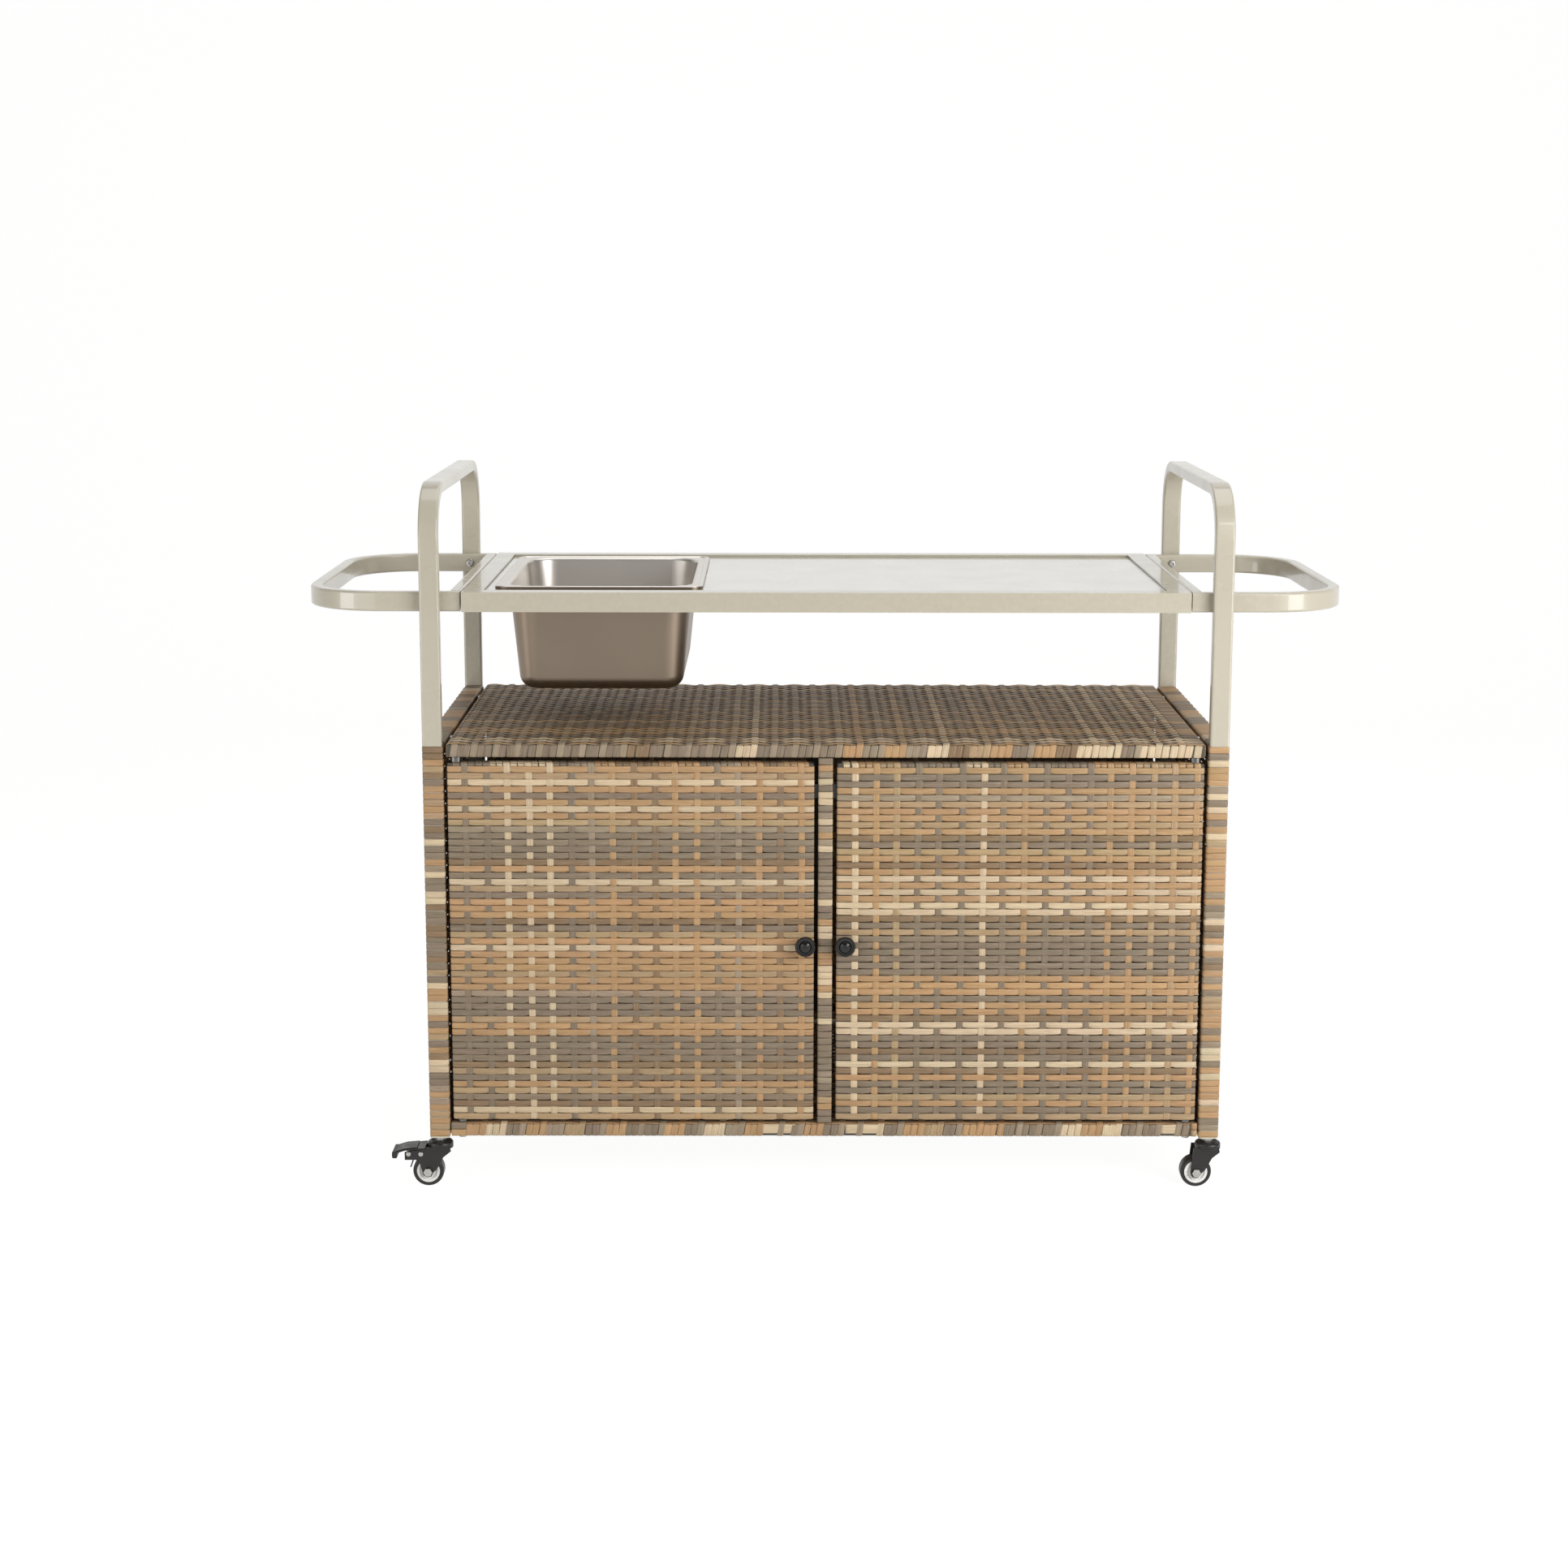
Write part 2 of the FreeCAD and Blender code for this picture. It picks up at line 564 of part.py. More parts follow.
# Worktop frame with its ledge and cross tubes, and the sheet that lies on the ledge
inner_x = table_x - TABLE_RAIL
inner_y = table_y - TABLE_RAIL
near_cross_x = pan_x + PAN_W / 2 + CROSS_GAP
cross_x = [near_cross_x, (near_cross_x + inner_x) / 2]
table = ring_frame(2 * table_x, 2 * table_y, TABLE_RAIL, TABLE_RAIL, TUBE_WALL)
table.translate(V(0, 0, TABLE_TOP))
ledge_z = sheet_z - SHEET_T
ledge = box(-inner_x, inner_x, -inner_y, inner_y, ledge_z - 1.5, ledge_z)
ledge_x = inner_x - LEDGE_W
ledge_y = inner_y - LEDGE_W
ledge = ledge.cut(box(-ledge_x, ledge_x, -ledge_y, ledge_y, 0, TABLE_TOP))
pieces = [table, ledge]
for x in cross_x:
    brace_z = ledge_z - POST_T / 2
    pieces.append(straight_tube(POST_T, POST_T, TUBE_WALL, V(x, -inner_y, brace_z), V(x, inner_y, brace_z)))
table = fused(pieces)
for side in (-1, 1):
    for y in table_bolt_y:
        start = V(side * (table_x - TUBE_WALL - 1), y, handle_z)
        table = table.cut(bolt_hole(start, X_AXIS * side, TUBE_WALL + 2))
nodes["table_frame"] = table
hole_w = PAN_W - 2 * PAN_FLANGE + 2 * PAN_CLEAR
hole_d = PAN_D - 2 * PAN_FLANGE + 2 * PAN_CLEAR
sheet_x = inner_x - SHEET_SIDE_GAP
sheet_y = inner_y - SHEET_SIDE_GAP
sheet = box(-sheet_x, sheet_x, -sheet_y, sheet_y, ledge_z, sheet_z)
wall_in = PAN_FLANGE + PAN_TAPER * PAN_H
bottom_in = wall_in + PAN_FOOT + 2.0
pan_round = bottom_in + PAN_BOTTOM_R
hole = bar(hole_w, hole_d, pan_round - PAN_FLANGE + PAN_CLEAR, 4 * SHEET_T)
nodes["table_panel"] = sheet.cut(hole.translated(V(pan_x, 0, ledge_z - SHEET_T)))

# Ice pan: a beaded rim with tight corners, a well with wide ones, the flange between them and a flat bottom
mid = PAN_T / 2
bead_in = mid + PAN_BEAD_W
rim_in = bead_in + 2 * PAN_BEAD
bead_mid = PAN_BEAD - mid
rim = sheet_profile(
    [(mid, -PAN_LIP), (mid, bead_mid), (bead_in, bead_mid), (bead_in + PAN_BEAD, -mid), (rim_in, -mid)],
    [1.2, 0.8, 0.8],
    PAN_T,
)
bend_r = 4.0
well_in = PAN_FLANGE - bend_r
well = sheet_profile(
    [(well_in, -mid), (PAN_FLANGE, -mid), (wall_in, -PAN_H + mid), (bottom_in, -PAN_H + mid)],
    [bend_r, PAN_FOOT],
    PAN_T,
)
flange_out = rounded_wire(PAN_W - 2 * rim_in, PAN_D - 2 * rim_in, PAN_CORNER - rim_in, -PAN_T)
flange_in = rounded_wire(PAN_W - 2 * well_in, PAN_D - 2 * well_in, pan_round - well_in, -PAN_T)
flange = Part.Face(flange_out).cut(Part.Face(flange_in)).extrude(V(0, 0, PAN_T))
pan = sweep_round(rim, PAN_W, PAN_D, PAN_CORNER) + sweep_round(well, PAN_W, PAN_D, pan_round) + [flange]
bottom_wire = rounded_wire(PAN_W - 2 * bottom_in, PAN_D - 2 * bottom_in, PAN_BOTTOM_R, -PAN_H)
pan.append(Part.Face(bottom_wire).extrude(V(0, 0, PAN_T)))
nodes["ice_pan"] = fused(pan).translated(V(pan_x, 0, sheet_z + PAN_LIP))

# Handles: a closed loop of tube on each end, between the posts
handle_leg = BODY_W / 2 + HANDLE_REACH - POST_T / 2 - HANDLE_BEND - handle_in
arm_span = 2 * post_in_y - POST_T
inside = post_in_y - POST_T
cross_bar = bar(POST_W, POST_T, TUBE_ROUND, 2 * inside)
cross_space = bar(*bore_sizes, arm_span)
for shape, half in ((cross_bar, inside), (cross_space, arm_span / 2)):
    shape.rotate(V(0, 0, 0), X_AXIS, -90)
    shape.translate(V(0, -half, POST_T / 2))
loop = u_bar(POST_W, POST_T, TUBE_ROUND, arm_span, handle_leg, HANDLE_BEND).fuse(cross_bar)
loop_space = u_bar(*bore_sizes, arm_span, handle_leg - TUBE_WALL, HANDLE_BEND)
loop = loop.cut(loop_space.translated(V(0, 0, TUBE_WALL)).fuse(cross_space))
loop.rotate(V(0, 0, 0), Y_AXIS, 90)
loop.translate(V(handle_in, 0, handle_z))
for side in (-1, 1):
    loop = loop.cut(bolt_hole(V(post_x, side * (inside - 1), handle_z), Y_AXIS * side, POST_T + 2))
for y in table_bolt_y:
    loop = loop.cut(bolt_hole(V(handle_in - 1, y, handle_z), X_AXIS, POST_T + 2))
nodes["right_handle"] = loop.removeSplitter()
nodes["left_handle"] = mirrored(nodes["right_handle"])
bolts = []
for x, side in handle_bolt_sites:
    bolts.append(button_bolt(V(x, side * inside, handle_z), Y_AXIS * side, POST_T + POST_T * 0.6))
nodes["handle_bolts"] = Part.makeCompound(bolts)
bolts = []
for side in (-1, 1):
    for y in table_bolt_y:
        start = V(side * (handle_in + POST_T), y, handle_z)
        bolts.append(button_bolt(start, X_AXIS * -side, POST_T + TABLE_END_GAP + TABLE_RAIL * 0.6))
        spacer_start = V(side * table_x, y, handle_z)
        bolts.append(ring(BOLT_HEAD_D / 2, BOLT_D / 2 + 0.1, spacer_start, X_AXIS * side, TABLE_END_GAP))
nodes["table_bolts"] = Part.makeCompound(bolts)

# Leg plugs with a threaded bore for the caster stems
plug_low = LEG_BOTTOM - PLUG_FLANGE
plug = bar(POST_W, POST_T, TUBE_ROUND, PLUG_FLANGE)
tongue_w = POST_W - 2 * TUBE_WALL - 0.2
tongue_t = POST_T - 2 * TUBE_WALL - 0.2
tongue = bar(tongue_w, tongue_t, TUBE_ROUND - TUBE_WALL, PLUG_DEPTH + PLUG_FLANGE)
plug = plug.fuse(tongue).cut(cylinder(STEM_D / 2 + 0.05, V(0, 0, -1), Z_AXIS, PLUG_DEPTH + PLUG_FLANGE + 2))

# Caster stem, nut and cup about the swivel axis
stem_top = LEG_BOTTOM + PLUG_DEPTH - 3.0
spigot_low = crown_z - 2.5
stem = cylinder(STEM_D / 2, V(0, 0, nut_z), Z_AXIS, stem_top - nut_z)
spigot = cylinder(SPIGOT_D / 2, V(0, 0, spigot_low), Z_AXIS, nut_z - spigot_low)
rivet = cylinder(SPIGOT_D * 0.7, V(0, 0, spigot_low), Z_AXIS, crown_z - 0.2 - spigot_low)
nut = hexagon(13.0, V(0, 0, nut_z), Z_AXIS, plug_low - nut_z)
stem = fused([stem, spigot, rivet, nut])
cup_r = CROWN_D / 2
spigot_hole = SPIGOT_D / 2 + PIVOT_PLAY
cup = turned(
    [
        (spigot_hole, cup_z),
        (cup_r * 0.55, cup_z),
        (cup_r * 0.62, cup_z + 1.5),
        (cup_r * 0.9, cup_z + 1.5),
        (cup_r * 0.9, cup_z),
        (cup_r, cup_z),
        (cup_r, cup_z + CUP_H * 0.5),
        (cup_r * 0.97, cup_z + CUP_H * 0.72),
        (cup_r * 0.9, cup_z + CUP_H * 0.88),
        (cup_r * 0.78, cup_z + CUP_H * 0.97),
        (cup_r * 0.7, cup_z + CUP_H),
        (cup_r * 0.67, cup_z + CUP_H * 0.86),
        (cup_r * 0.58, cup_z + CUP_H * 0.86),
        (cup_r * 0.54, cup_z + CUP_H),
        (spigot_hole, cup_z + CUP_H),
    ]
)


def fork_arm(with_brake):
    """The outline of one fork plate in the XZ plane, about the swivel axis."""
    top = crown_z + CROWN_T
    eye_r = AXLE_D * 1.25
    eye = V(-TRAIL, 0, axle_z)
    low = V(-TRAIL + eye_r * 0.5, 0, axle_z - eye_r * 0.866)
    points = [V(-TRAIL - eye_r, 0, axle_z), V(-TRAIL - eye_r * 0.55, 0, top)]
    if with_brake:
        points = [V(-TRAIL - eye_r, 0, axle_z), V(brake_x - 3.0, 0, brake_z - 8.0)]
        points += [V(far_rivet_x - 5.0, 0, brake_z - 8.0), V(far_rivet_x - 5.0, 0, brake_z + 2.2)]
        points += [V(far_rivet_x, 0, brake_z + 3.4), V(pedal_in_x, 0, pedal_z - PEDAL_T)]
        points += [V(pedal_in_x + 0.8, 0, top)]
    points += [V(CROWN_D * 0.4, 0, top), V(CROWN_D * 0.44, 0, crown_z - 3.0)]
    points += [V(CROWN_D * 0.14, 0, crown_z - 11.0), V(-TRAIL + eye_r * 1.5, 0, axle_z + 3.0)]
    points += [V(-TRAIL + eye_r, 0, axle_z), low]
    edges = []
    for start, end in zip(points[:-1], points[1:]):
        edges.append(Part.makeLine(start, end))
    under = eye - V(eye_r * math.cos(math.radians(60)), 0, eye_r * math.sin(math.radians(60)))
    edges.append(Part.Arc(low, under, points[0]).toShape())
    return Part.Face(Part.Wire(edges)).extrude(V(0, FORK_T, 0))


def fork_shape(with_brake):
    crown = cylinder(CROWN_D / 2, V(0, 0, crown_z), Z_AXIS, CROWN_T)
    arm = fork_arm(with_brake)
    shape = fused([crown, arm.translated(V(0, -fork_out, 0)), arm.translated(V(0, fork_in, 0))])
    shape = shape.cut(cylinder(spigot_hole, V(0, 0, crown_z - 1), Z_AXIS, CROWN_T + 2))
    axle_hole = cylinder(AXLE_D / 2 + 0.05, V(-TRAIL, -fork_out - 1, axle_z), Y_AXIS, 2 * fork_out + 2)
    shape = shape.cut(axle_hole)
    if with_brake:
        for x in (brake_x, far_rivet_x):
            shape = shape.cut(cylinder(2.05, V(x, -fork_out - 1, brake_z), Y_AXIS, 2 * fork_out + 2))
    return shape


def axle_shape():
    shank = cylinder(AXLE_D / 2, V(-TRAIL, -fork_out, axle_z), Y_AXIS, 2 * fork_out + axle_nut_t + 0.6)
    head = hexagon(10.0, V(-TRAIL, -fork_out - 4.0, axle_z), Y_AXIS, 4.0)
    lock_nut = hexagon(10.0, V(-TRAIL, fork_out, axle_z), Y_AXIS, axle_nut_t)
    return fused([shank, head, lock_nut])


core_r = WHEEL_D / 2 - TREAD_T
half_w = WHEEL_W / 2
core = turned(
    [
        (AXLE_D / 2 + 0.05, -half_w - 0.8),
        (AXLE_D * 1.1, -half_w - 0.8),
        (AXLE_D * 1.2, -half_w + 3.5),
        (core_r * 0.72, -half_w + 3.5),
        (core_r * 0.78, -half_w + 0.3),
        (core_r, -half_w + 0.3),
        (core_r, half_w - 0.3),
        (core_r * 0.78, half_w - 0.3),
        (core_r * 0.72, half_w - 3.5),
        (AXLE_D * 1.2, half_w - 3.5),
        (AXLE_D * 1.1, half_w + 0.8),
        (AXLE_D / 2 + 0.05, half_w + 0.8),
    ]
)
tread_r = WHEEL_D / 2
tyre_in = core_r + 0.03
tyre = turned([(tyre_in, -half_w), (tread_r, -half_w), (tread_r, half_w), (tyre_in, half_w)])
rims = [e for e in tyre.Edges if e.Curve.TypeId == "Part::GeomCircle" and e.Curve.Radius > tread_r - 0.01]
tyre = tyre.makeFillet(2.5, rims)


def wheel_placed(shape):
    placed = shape.copy()
    placed.rotate(V(0, 0, 0), X_AXIS, -90)
    placed.translate(V(-TRAIL, 0, axle_z))
    return placed


def bent_plate(corners, radii, thick, width):
    """A bent plate across Y from (x, height) corners of its middle line."""
    profile = sheet_profile(corners, radii, thick)
    profile.rotate(V(0, 0, 0), X_AXIS, 90)
    return profile.extrude(V(0, width, 0)).translated(V(0, -width / 2, 0))


def pedal_shape():
    """The brake pedal: a bent plate with a tread pad and toe bar, two cheeks on the rivet, and a tongue."""
    half = fork_in - 0.4
    knee_x = brake_x - 0.55 * PEDAL_REACH
    end_x = brake_x - PEDAL_REACH
    toe_x = end_x + TOE_W - 1.5
    toe_z = pedal_z - 5.4
    line = [(pedal_in_x, pedal_z + 0.4), (knee_x, pedal_z - 1.8), (toe_x, toe_z)]
    plate = bent_plate(line, [12.0], PEDAL_T, PEDAL_W)
    toe = bar(TOE_W, TOE_H, 2.2, PEDAL_W)
    toe.rotate(V(0, 0, 0), X_AXIS, -90)
    toe.translate(V(end_x + TOE_W / 2, -PEDAL_W / 2, toe_z + PEDAL_T - TOE_H / 2))
    lift = 0.75 * PEDAL_T
    pad_x = brake_x - 4.5
    pad_line = [(pad_x, pedal_z - 0.37 + lift), (knee_x, pedal_z - 1.8 + lift), (toe_x, toe_z + lift)]
    pad = bent_plate(pad_line, [12.0 + lift], PEDAL_T, PEDAL_W - 3.0)
    cheek_points = [
        V(brake_x + 4.5, 0, brake_z - 3.5),
        V(brake_x + 5.0, 0, pedal_z),
        V(brake_x - 11.0, 0, pedal_z - 1.0),
        V(brake_x - 6.0, 0, brake_z - 3.5),
        V(brake_x + 4.5, 0, brake_z - 3.5),
    ]
    cheek = Part.Face(Part.makePolygon(cheek_points)).extrude(V(0, 1.6, 0))
    tongue_x = brake_x - 9.5
    tongue_line = [(tongue_x, pedal_z - 0.8), (tongue_x, brake_z - 6.0)]
    tongue_line.append((tongue_x - 4.9, brake_z - SHOE_DROP))
    tongue = bent_plate(tongue_line, [4.0], 1.6, 11.0)
    cheeks = [cheek.translated(V(0, y, 0)) for y in (-half, half - 1.6)]
    pin_hole = cylinder(2.05, V(brake_x, -half - 1, brake_z), Y_AXIS, 2 * half + 2)
    return fused([plate, toe, pad, tongue, *cheeks]).cut(pin_hole)


def rivet_shape(x):
    shank = cylinder(2.0, V(x, -fork_out, brake_z), Y_AXIS, 2 * fork_out)
    near = cylinder(3.2, V(x, -fork_out - 1.6, brake_z), Y_AXIS, 1.6)
    near = near.makeFillet(1.0, [near.Edges[2]])
    far = cylinder(3.2, V(x, fork_out, brake_z), Y_AXIS, 1.6)
    far = far.makeFillet(1.0, [far.Edges[0]])
    return fused([shank, near, far])


plain_fork = fork_shape(False)
brake_fork = fork_shape(True)
axle = axle_shape()
pedal = pedal_shape()
rivets = Part.makeCompound([rivet_shape(brake_x), rivet_shape(far_rivet_x)])
corners = {
    "front_left": V(-post_x, -post_y, 0),
    "back_left": V(-post_x, post_y, 0),
    "front_right": V(post_x, -post_y, 0),
    "back_right": V(post_x, post_y, 0),
}
plugs = []
stems = []
cups = []
for name, place in corners.items():
    braked = name.endswith("left")
    plugs.append(plug.translated(place + V(0, 0, plug_low)))
    stems.append(stem.translated(place))
    cups.append(cup.translated(place))
    nodes[name + "_fork"] = (brake_fork if braked else plain_fork).translated(place)
    nodes[name + "_axle"] = axle.translated(place)
    nodes[name + "_wheel"] = wheel_placed(core).translated(place)
    nodes[name + "_tyre"] = wheel_placed(tyre).translated(place)
    if braked:
        nodes[name + "_brake_pedal"] = pedal.translated(place)
        nodes[name + "_brake_rivets"] = rivets.translated(place)
nodes["leg_plugs"] = Part.makeCompound(plugs)
nodes["caster_stems"] = Part.makeCompound(stems)
nodes["caster_cups"] = Part.makeCompound(cups)

os.makedirs("parts", exist_ok=True)
for name, shape in nodes.items():
    shape.translated(V(0, origin_y, 0)).exportStep("parts/" + name + ".step")
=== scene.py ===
import math

import bpy
import numpy as np
from mathutils import Matrix, Vector


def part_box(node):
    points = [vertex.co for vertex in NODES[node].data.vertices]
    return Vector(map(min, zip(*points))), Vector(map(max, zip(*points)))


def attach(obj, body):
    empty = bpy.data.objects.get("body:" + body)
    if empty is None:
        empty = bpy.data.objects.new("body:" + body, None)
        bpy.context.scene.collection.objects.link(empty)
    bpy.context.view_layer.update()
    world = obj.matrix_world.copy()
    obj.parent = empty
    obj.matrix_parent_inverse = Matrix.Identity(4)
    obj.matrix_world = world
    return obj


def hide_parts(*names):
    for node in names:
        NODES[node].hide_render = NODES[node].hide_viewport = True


bl_info = {
    "name": "Wicker bar cart",
    "version": (1, 0, 0),
    "blender": (4, 5, 0),
    "location": "View3D > Sidebar > Bar cart",
    "description": "Weaves the panels and finishes the paint, steel and casters of an outdoor bar cart",
    "category": "Object",
}

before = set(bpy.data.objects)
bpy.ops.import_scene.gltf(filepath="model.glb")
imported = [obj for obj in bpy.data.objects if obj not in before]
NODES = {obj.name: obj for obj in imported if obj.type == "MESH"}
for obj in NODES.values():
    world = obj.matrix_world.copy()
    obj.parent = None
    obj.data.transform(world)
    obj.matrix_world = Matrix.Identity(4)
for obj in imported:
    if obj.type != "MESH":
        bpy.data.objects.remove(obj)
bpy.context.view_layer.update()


def linear(code):
    """Scene colour of a six digit screen colour."""
    values = [int(code[i : i + 2], 16) / 255 for i in (0, 2, 4)]
    return tuple(v / 12.92 if v <= 0.04045 else ((v + 0.055) / 1.055) ** 2.4 for v in values)


def shade(paint, factor):
    """A colour times a factor, no brighter than white."""
    return tuple(min(1.0, c * factor) for c in paint)


def length(name, text, default):
    """A length in metres that the sidebar shows."""
    return bpy.props.FloatProperty(name=name, description=text, default=default, unit="LENGTH", precision=5)


def turning(name, text, default):
    """An angle in radians that the sidebar shows in degrees."""
    return bpy.props.FloatProperty(name=name, description=text, default=default, subtype="ANGLE")


def number(name, text, default):
    """A plain number that the sidebar shows."""
    return bpy.props.FloatProperty(name=name, description=text, default=default)


def colour(name, text, code):
    """A colour that the sidebar shows."""
    return bpy.props.FloatVectorProperty(
        name=name, description=text, default=linear(code), size=3, subtype="COLOR", min=0, max=1
    )


class WickerSettings(bpy.types.PropertyGroup):
    """Sizes and colours of the flat rattan strands."""

    width: length("Strand width", "Width of one flat strand", 0.0082)
    thickness: length("Strand thickness", "Thickness of one flat strand", 0.0013)
    row_pitch: length("Row pitch", "Distance from one crosswise row to the next", 0.0086)
    warp_pitch: length("Warp pitch", "Distance from one upright strand to the next", 0.0273)
    warp_width: length("Warp width", "Width of an upright strand", 0.0086)
    crimp: length("Crimp", "How far a crosswise strand swings over and under", 0.0012)
    warp_crimp: length("Warp crimp", "How far an upright strand swings the other way", 0.0003)
    corner: length("Corner radius", "Radius of a strand's line where it turns round an edge", 0.0022)
    tan: colour("Tan", "Most common strand colour", "B99469")
    cream: colour("Cream", "Palest strand colour", "D6C1A0")
    taupe: colour("Taupe", "Strand colour between tan and grey", "B39873")
    grey: colour("Grey brown", "Weathered strand colour", "877763")
    brown: colour("Brown", "Darkest strand colour", "8A7153")
    light: colour("Light grey", "Pale weathered strand colour", "9E8D76")
    seed: bpy.props.IntProperty(name="Seed", description="Start of the strand order", default=11)


class FinishSettings(bpy.types.PropertyGroup):
    """Colours of the paint, metal and plastic."""

    paint: colour("Frame paint", "Powder coat on the tubes", "BDB6A4")
    panel: colour("Worktop paint", "Powder coat on the worktop sheet", "C6C1B4")
    inner: colour("Inner tubes", "Thin dark paint on the tubes under the wicker", "4A443A")
    # The pan's outside colour is darker and browner than its steel, a painted reflection of the wicker and
    # the dark surroundings. The inside colour is brighter, a painted highlight. Both are partly also the
    # steel's own dull outside and polished inside.
    steel: colour("Ice pan outside", "Dull drawn steel of the pan", "8A7C6D")
    bowl: colour("Ice pan inside", "Brighter steel of the bowl and rim", "D6D1CA")
    bright: colour("Bright hardware", "Zinc and nickel on bolts, pins and rivets", "B8B6B1")
    black: colour("Black plastic", "Knobs and catch", "0D0B0A")
    caster: colour("Caster black", "Painted forks, cups and pedals", "1A1716")
    core: colour("Wheel core", "Pale moulded wheel core", "F4F3F0")
    tyre: colour("Tyre", "Soft tread round the wheel", "1C1917")
    plug: colour("Leg plug", "Cream moulded plug under each leg", "D8D0BC")


class StageSettings(bpy.types.PropertyGroup):
    """Camera and light."""

    eye: bpy.props.FloatVectorProperty(
        name="Eye", description="Where the camera stands", default=(-0.0573, -3.62435, 1.1869),
        size=3, subtype="XYZ",
    )
    focal: number("Focal length", "Lens in mm on a 36 mm sensor", 62.57)
    pitch: turning("Pitch", "How far the camera looks down", 0.1716)
    yaw: turning("Yaw", "Turn of the camera", -0.0013)
    roll: turning("Roll", "Tilt of the camera", -0.0016)
    shift: number("Shift", "Upward shift of the picture", -0.0342)
    sky: number("Soft light", "Strength of the light from all sides", 0.16)
    floor: colour("Floor", "Pale floor", "DCDAD6")


# Shader groups

MID_GREY = (0.5, 0.5, 0.5, 1)


def feed(tree, value, target):
    """Links a socket to an input, or sets the input to a number, vector or colour."""
    if isinstance(value, bpy.types.NodeSocket):
        tree.links.new(value, target)
    elif target.type == "RGBA":
        target.default_value = (*value[:3], 1)
    else:
        target.default_value = value


def new_group(name, inputs, outputs=("Color", "Roughness", "Height")):
    """An empty shader group; the defaults of its inputs are colours, numbers, or None for a vector."""
    group = bpy.data.node_groups.new(name, "ShaderNodeTree")
    for label, default in inputs.items():
        kind = "Vector" if default is None else "Float" if isinstance(default, float) else "Color"
        socket = group.interface.new_socket(name=label, in_out="INPUT", socket_type="NodeSocket" + kind)
        if default is not None:
            socket.default_value = default
    for label in outputs:
        kind = "NodeSocketColor" if label == "Color" else "NodeSocketFloat"
        group.interface.new_socket(name=label, in_out="OUTPUT", socket_type=kind)
    return group, group.nodes.new("NodeGroupInput").outputs, group.nodes.new("NodeGroupOutput")


def noise(tree, vector, scale, detail=3.0, rough=0.55):
    """A noise texture on a vector socket, its scale a socket or a number; gives its factor socket."""
    node = tree.nodes.new("ShaderNodeTexNoise")
    for key, value in (("Vector", vector), ("Scale", scale), ("Detail", detail), ("Roughness", rough)):
        feed(tree, value, node.inputs[key])
    return node.outputs["Fac"]


def ranged(tree, value, low, high, to_low, to_high):
    """The value mapped from low..high to to_low..to_high."""
    node = tree.nodes.new("ShaderNodeMapRange")
    for key, bound in (("From Min", low), ("From Max", high), ("To Min", to_low), ("To Max", to_high)):
        node.inputs[key].default_value = bound
    tree.links.new(value, node.inputs["Value"])
    return node.outputs["Result"]


def calc(tree, kind, first, second):
    """A math node; first and second are sockets or numbers."""
    node = tree.nodes.new("ShaderNodeMath")
    node.operation = kind
    feed(tree, first, node.inputs[0])
    feed(tree, second, node.inputs[1])
    return node.outputs["Value"]


def blend_colour(tree, factor, first, second, kind="MIX"):
    """A colour mix; each of the three is a socket or a constant."""
    node = tree.nodes.new("ShaderNodeMix")
    node.data_type = "RGBA"
    node.blend_type = kind
    for key, value in (("Factor_Float", factor), ("A_Color", first), ("B_Color", second)):
        feed(tree, value, next(s for s in node.inputs if s.identifier == key))
    return next(s for s in node.outputs if s.identifier == "Result_Color")


def stretched(tree, vector, scale):
    """The vector times a scale on each axis."""
    node = tree.nodes.new("ShaderNodeVectorMath")
    node.operation = "MULTIPLY"
    node.inputs[1].default_value = scale
    tree.links.new(vector, node.inputs[0])
    return node.outputs["Vector"]


def hand_out(group, end, **values):
    """Links sockets to the outputs of a group by name."""
    for key, value in values.items():
        group.links.new(value, end.inputs[key])


def edge_wear_group():
    """Mask that is high on sharp outer edges, broken up by noise."""
    group, given, end = new_group("Edge wear", {"Vector": None, "Breakup": 60.0}, ["Mask"])
    geometry = group.nodes.new("ShaderNodeNewGeometry")
    sharp = ranged(group, geometry.outputs["Pointiness"], 0.54, 0.66, 0.0, 1.0)
    patches = noise(group, given["Vector"], given["Breakup"], 4.0, 0.5)
    broken = ranged(group, patches, 0.42, 0.62, 0.0, 1.0)
    hand_out(group, end, Mask=calc(group, "MULTIPLY", sharp, broken))
    return group


def powder_group():
    """Powder coat: faint cloudiness, fine orange peel and pinhead specks."""
    inputs = {"Vector": None, "Paint": MID_GREY, "Dust": MID_GREY, "Haze": 0.25}
    group, given, end = new_group("Powder coat", inputs)
    vector = given["Vector"]
    cloud = ranged(group, noise(group, vector, 7.0, 4.0), 0.3, 0.7, 0.0, 0.08)
    speck = ranged(group, noise(group, vector, 900.0, 1.0), 0.62, 0.72, 0.0, 0.08)
    tinted = blend_colour(group, cloud, given["Paint"], given["Dust"])
    specked = blend_colour(group, speck, tinted, given["Dust"])
    peel = noise(group, vector, 420.0, 2.0, 0.45)
    fine = noise(group, vector, 1500.0, 1.0)
    height = calc(group, "ADD", peel, calc(group, "MULTIPLY", fine, 0.3))
    patchy = ranged(group, noise(group, vector, 18.0, 3.0), 0.3, 0.7, 0.85, 1.25)
    rough = calc(group, "MULTIPLY", patchy, given["Haze"])
    hand_out(group, end, Color=specked, Roughness=rough, Height=height)
    return group


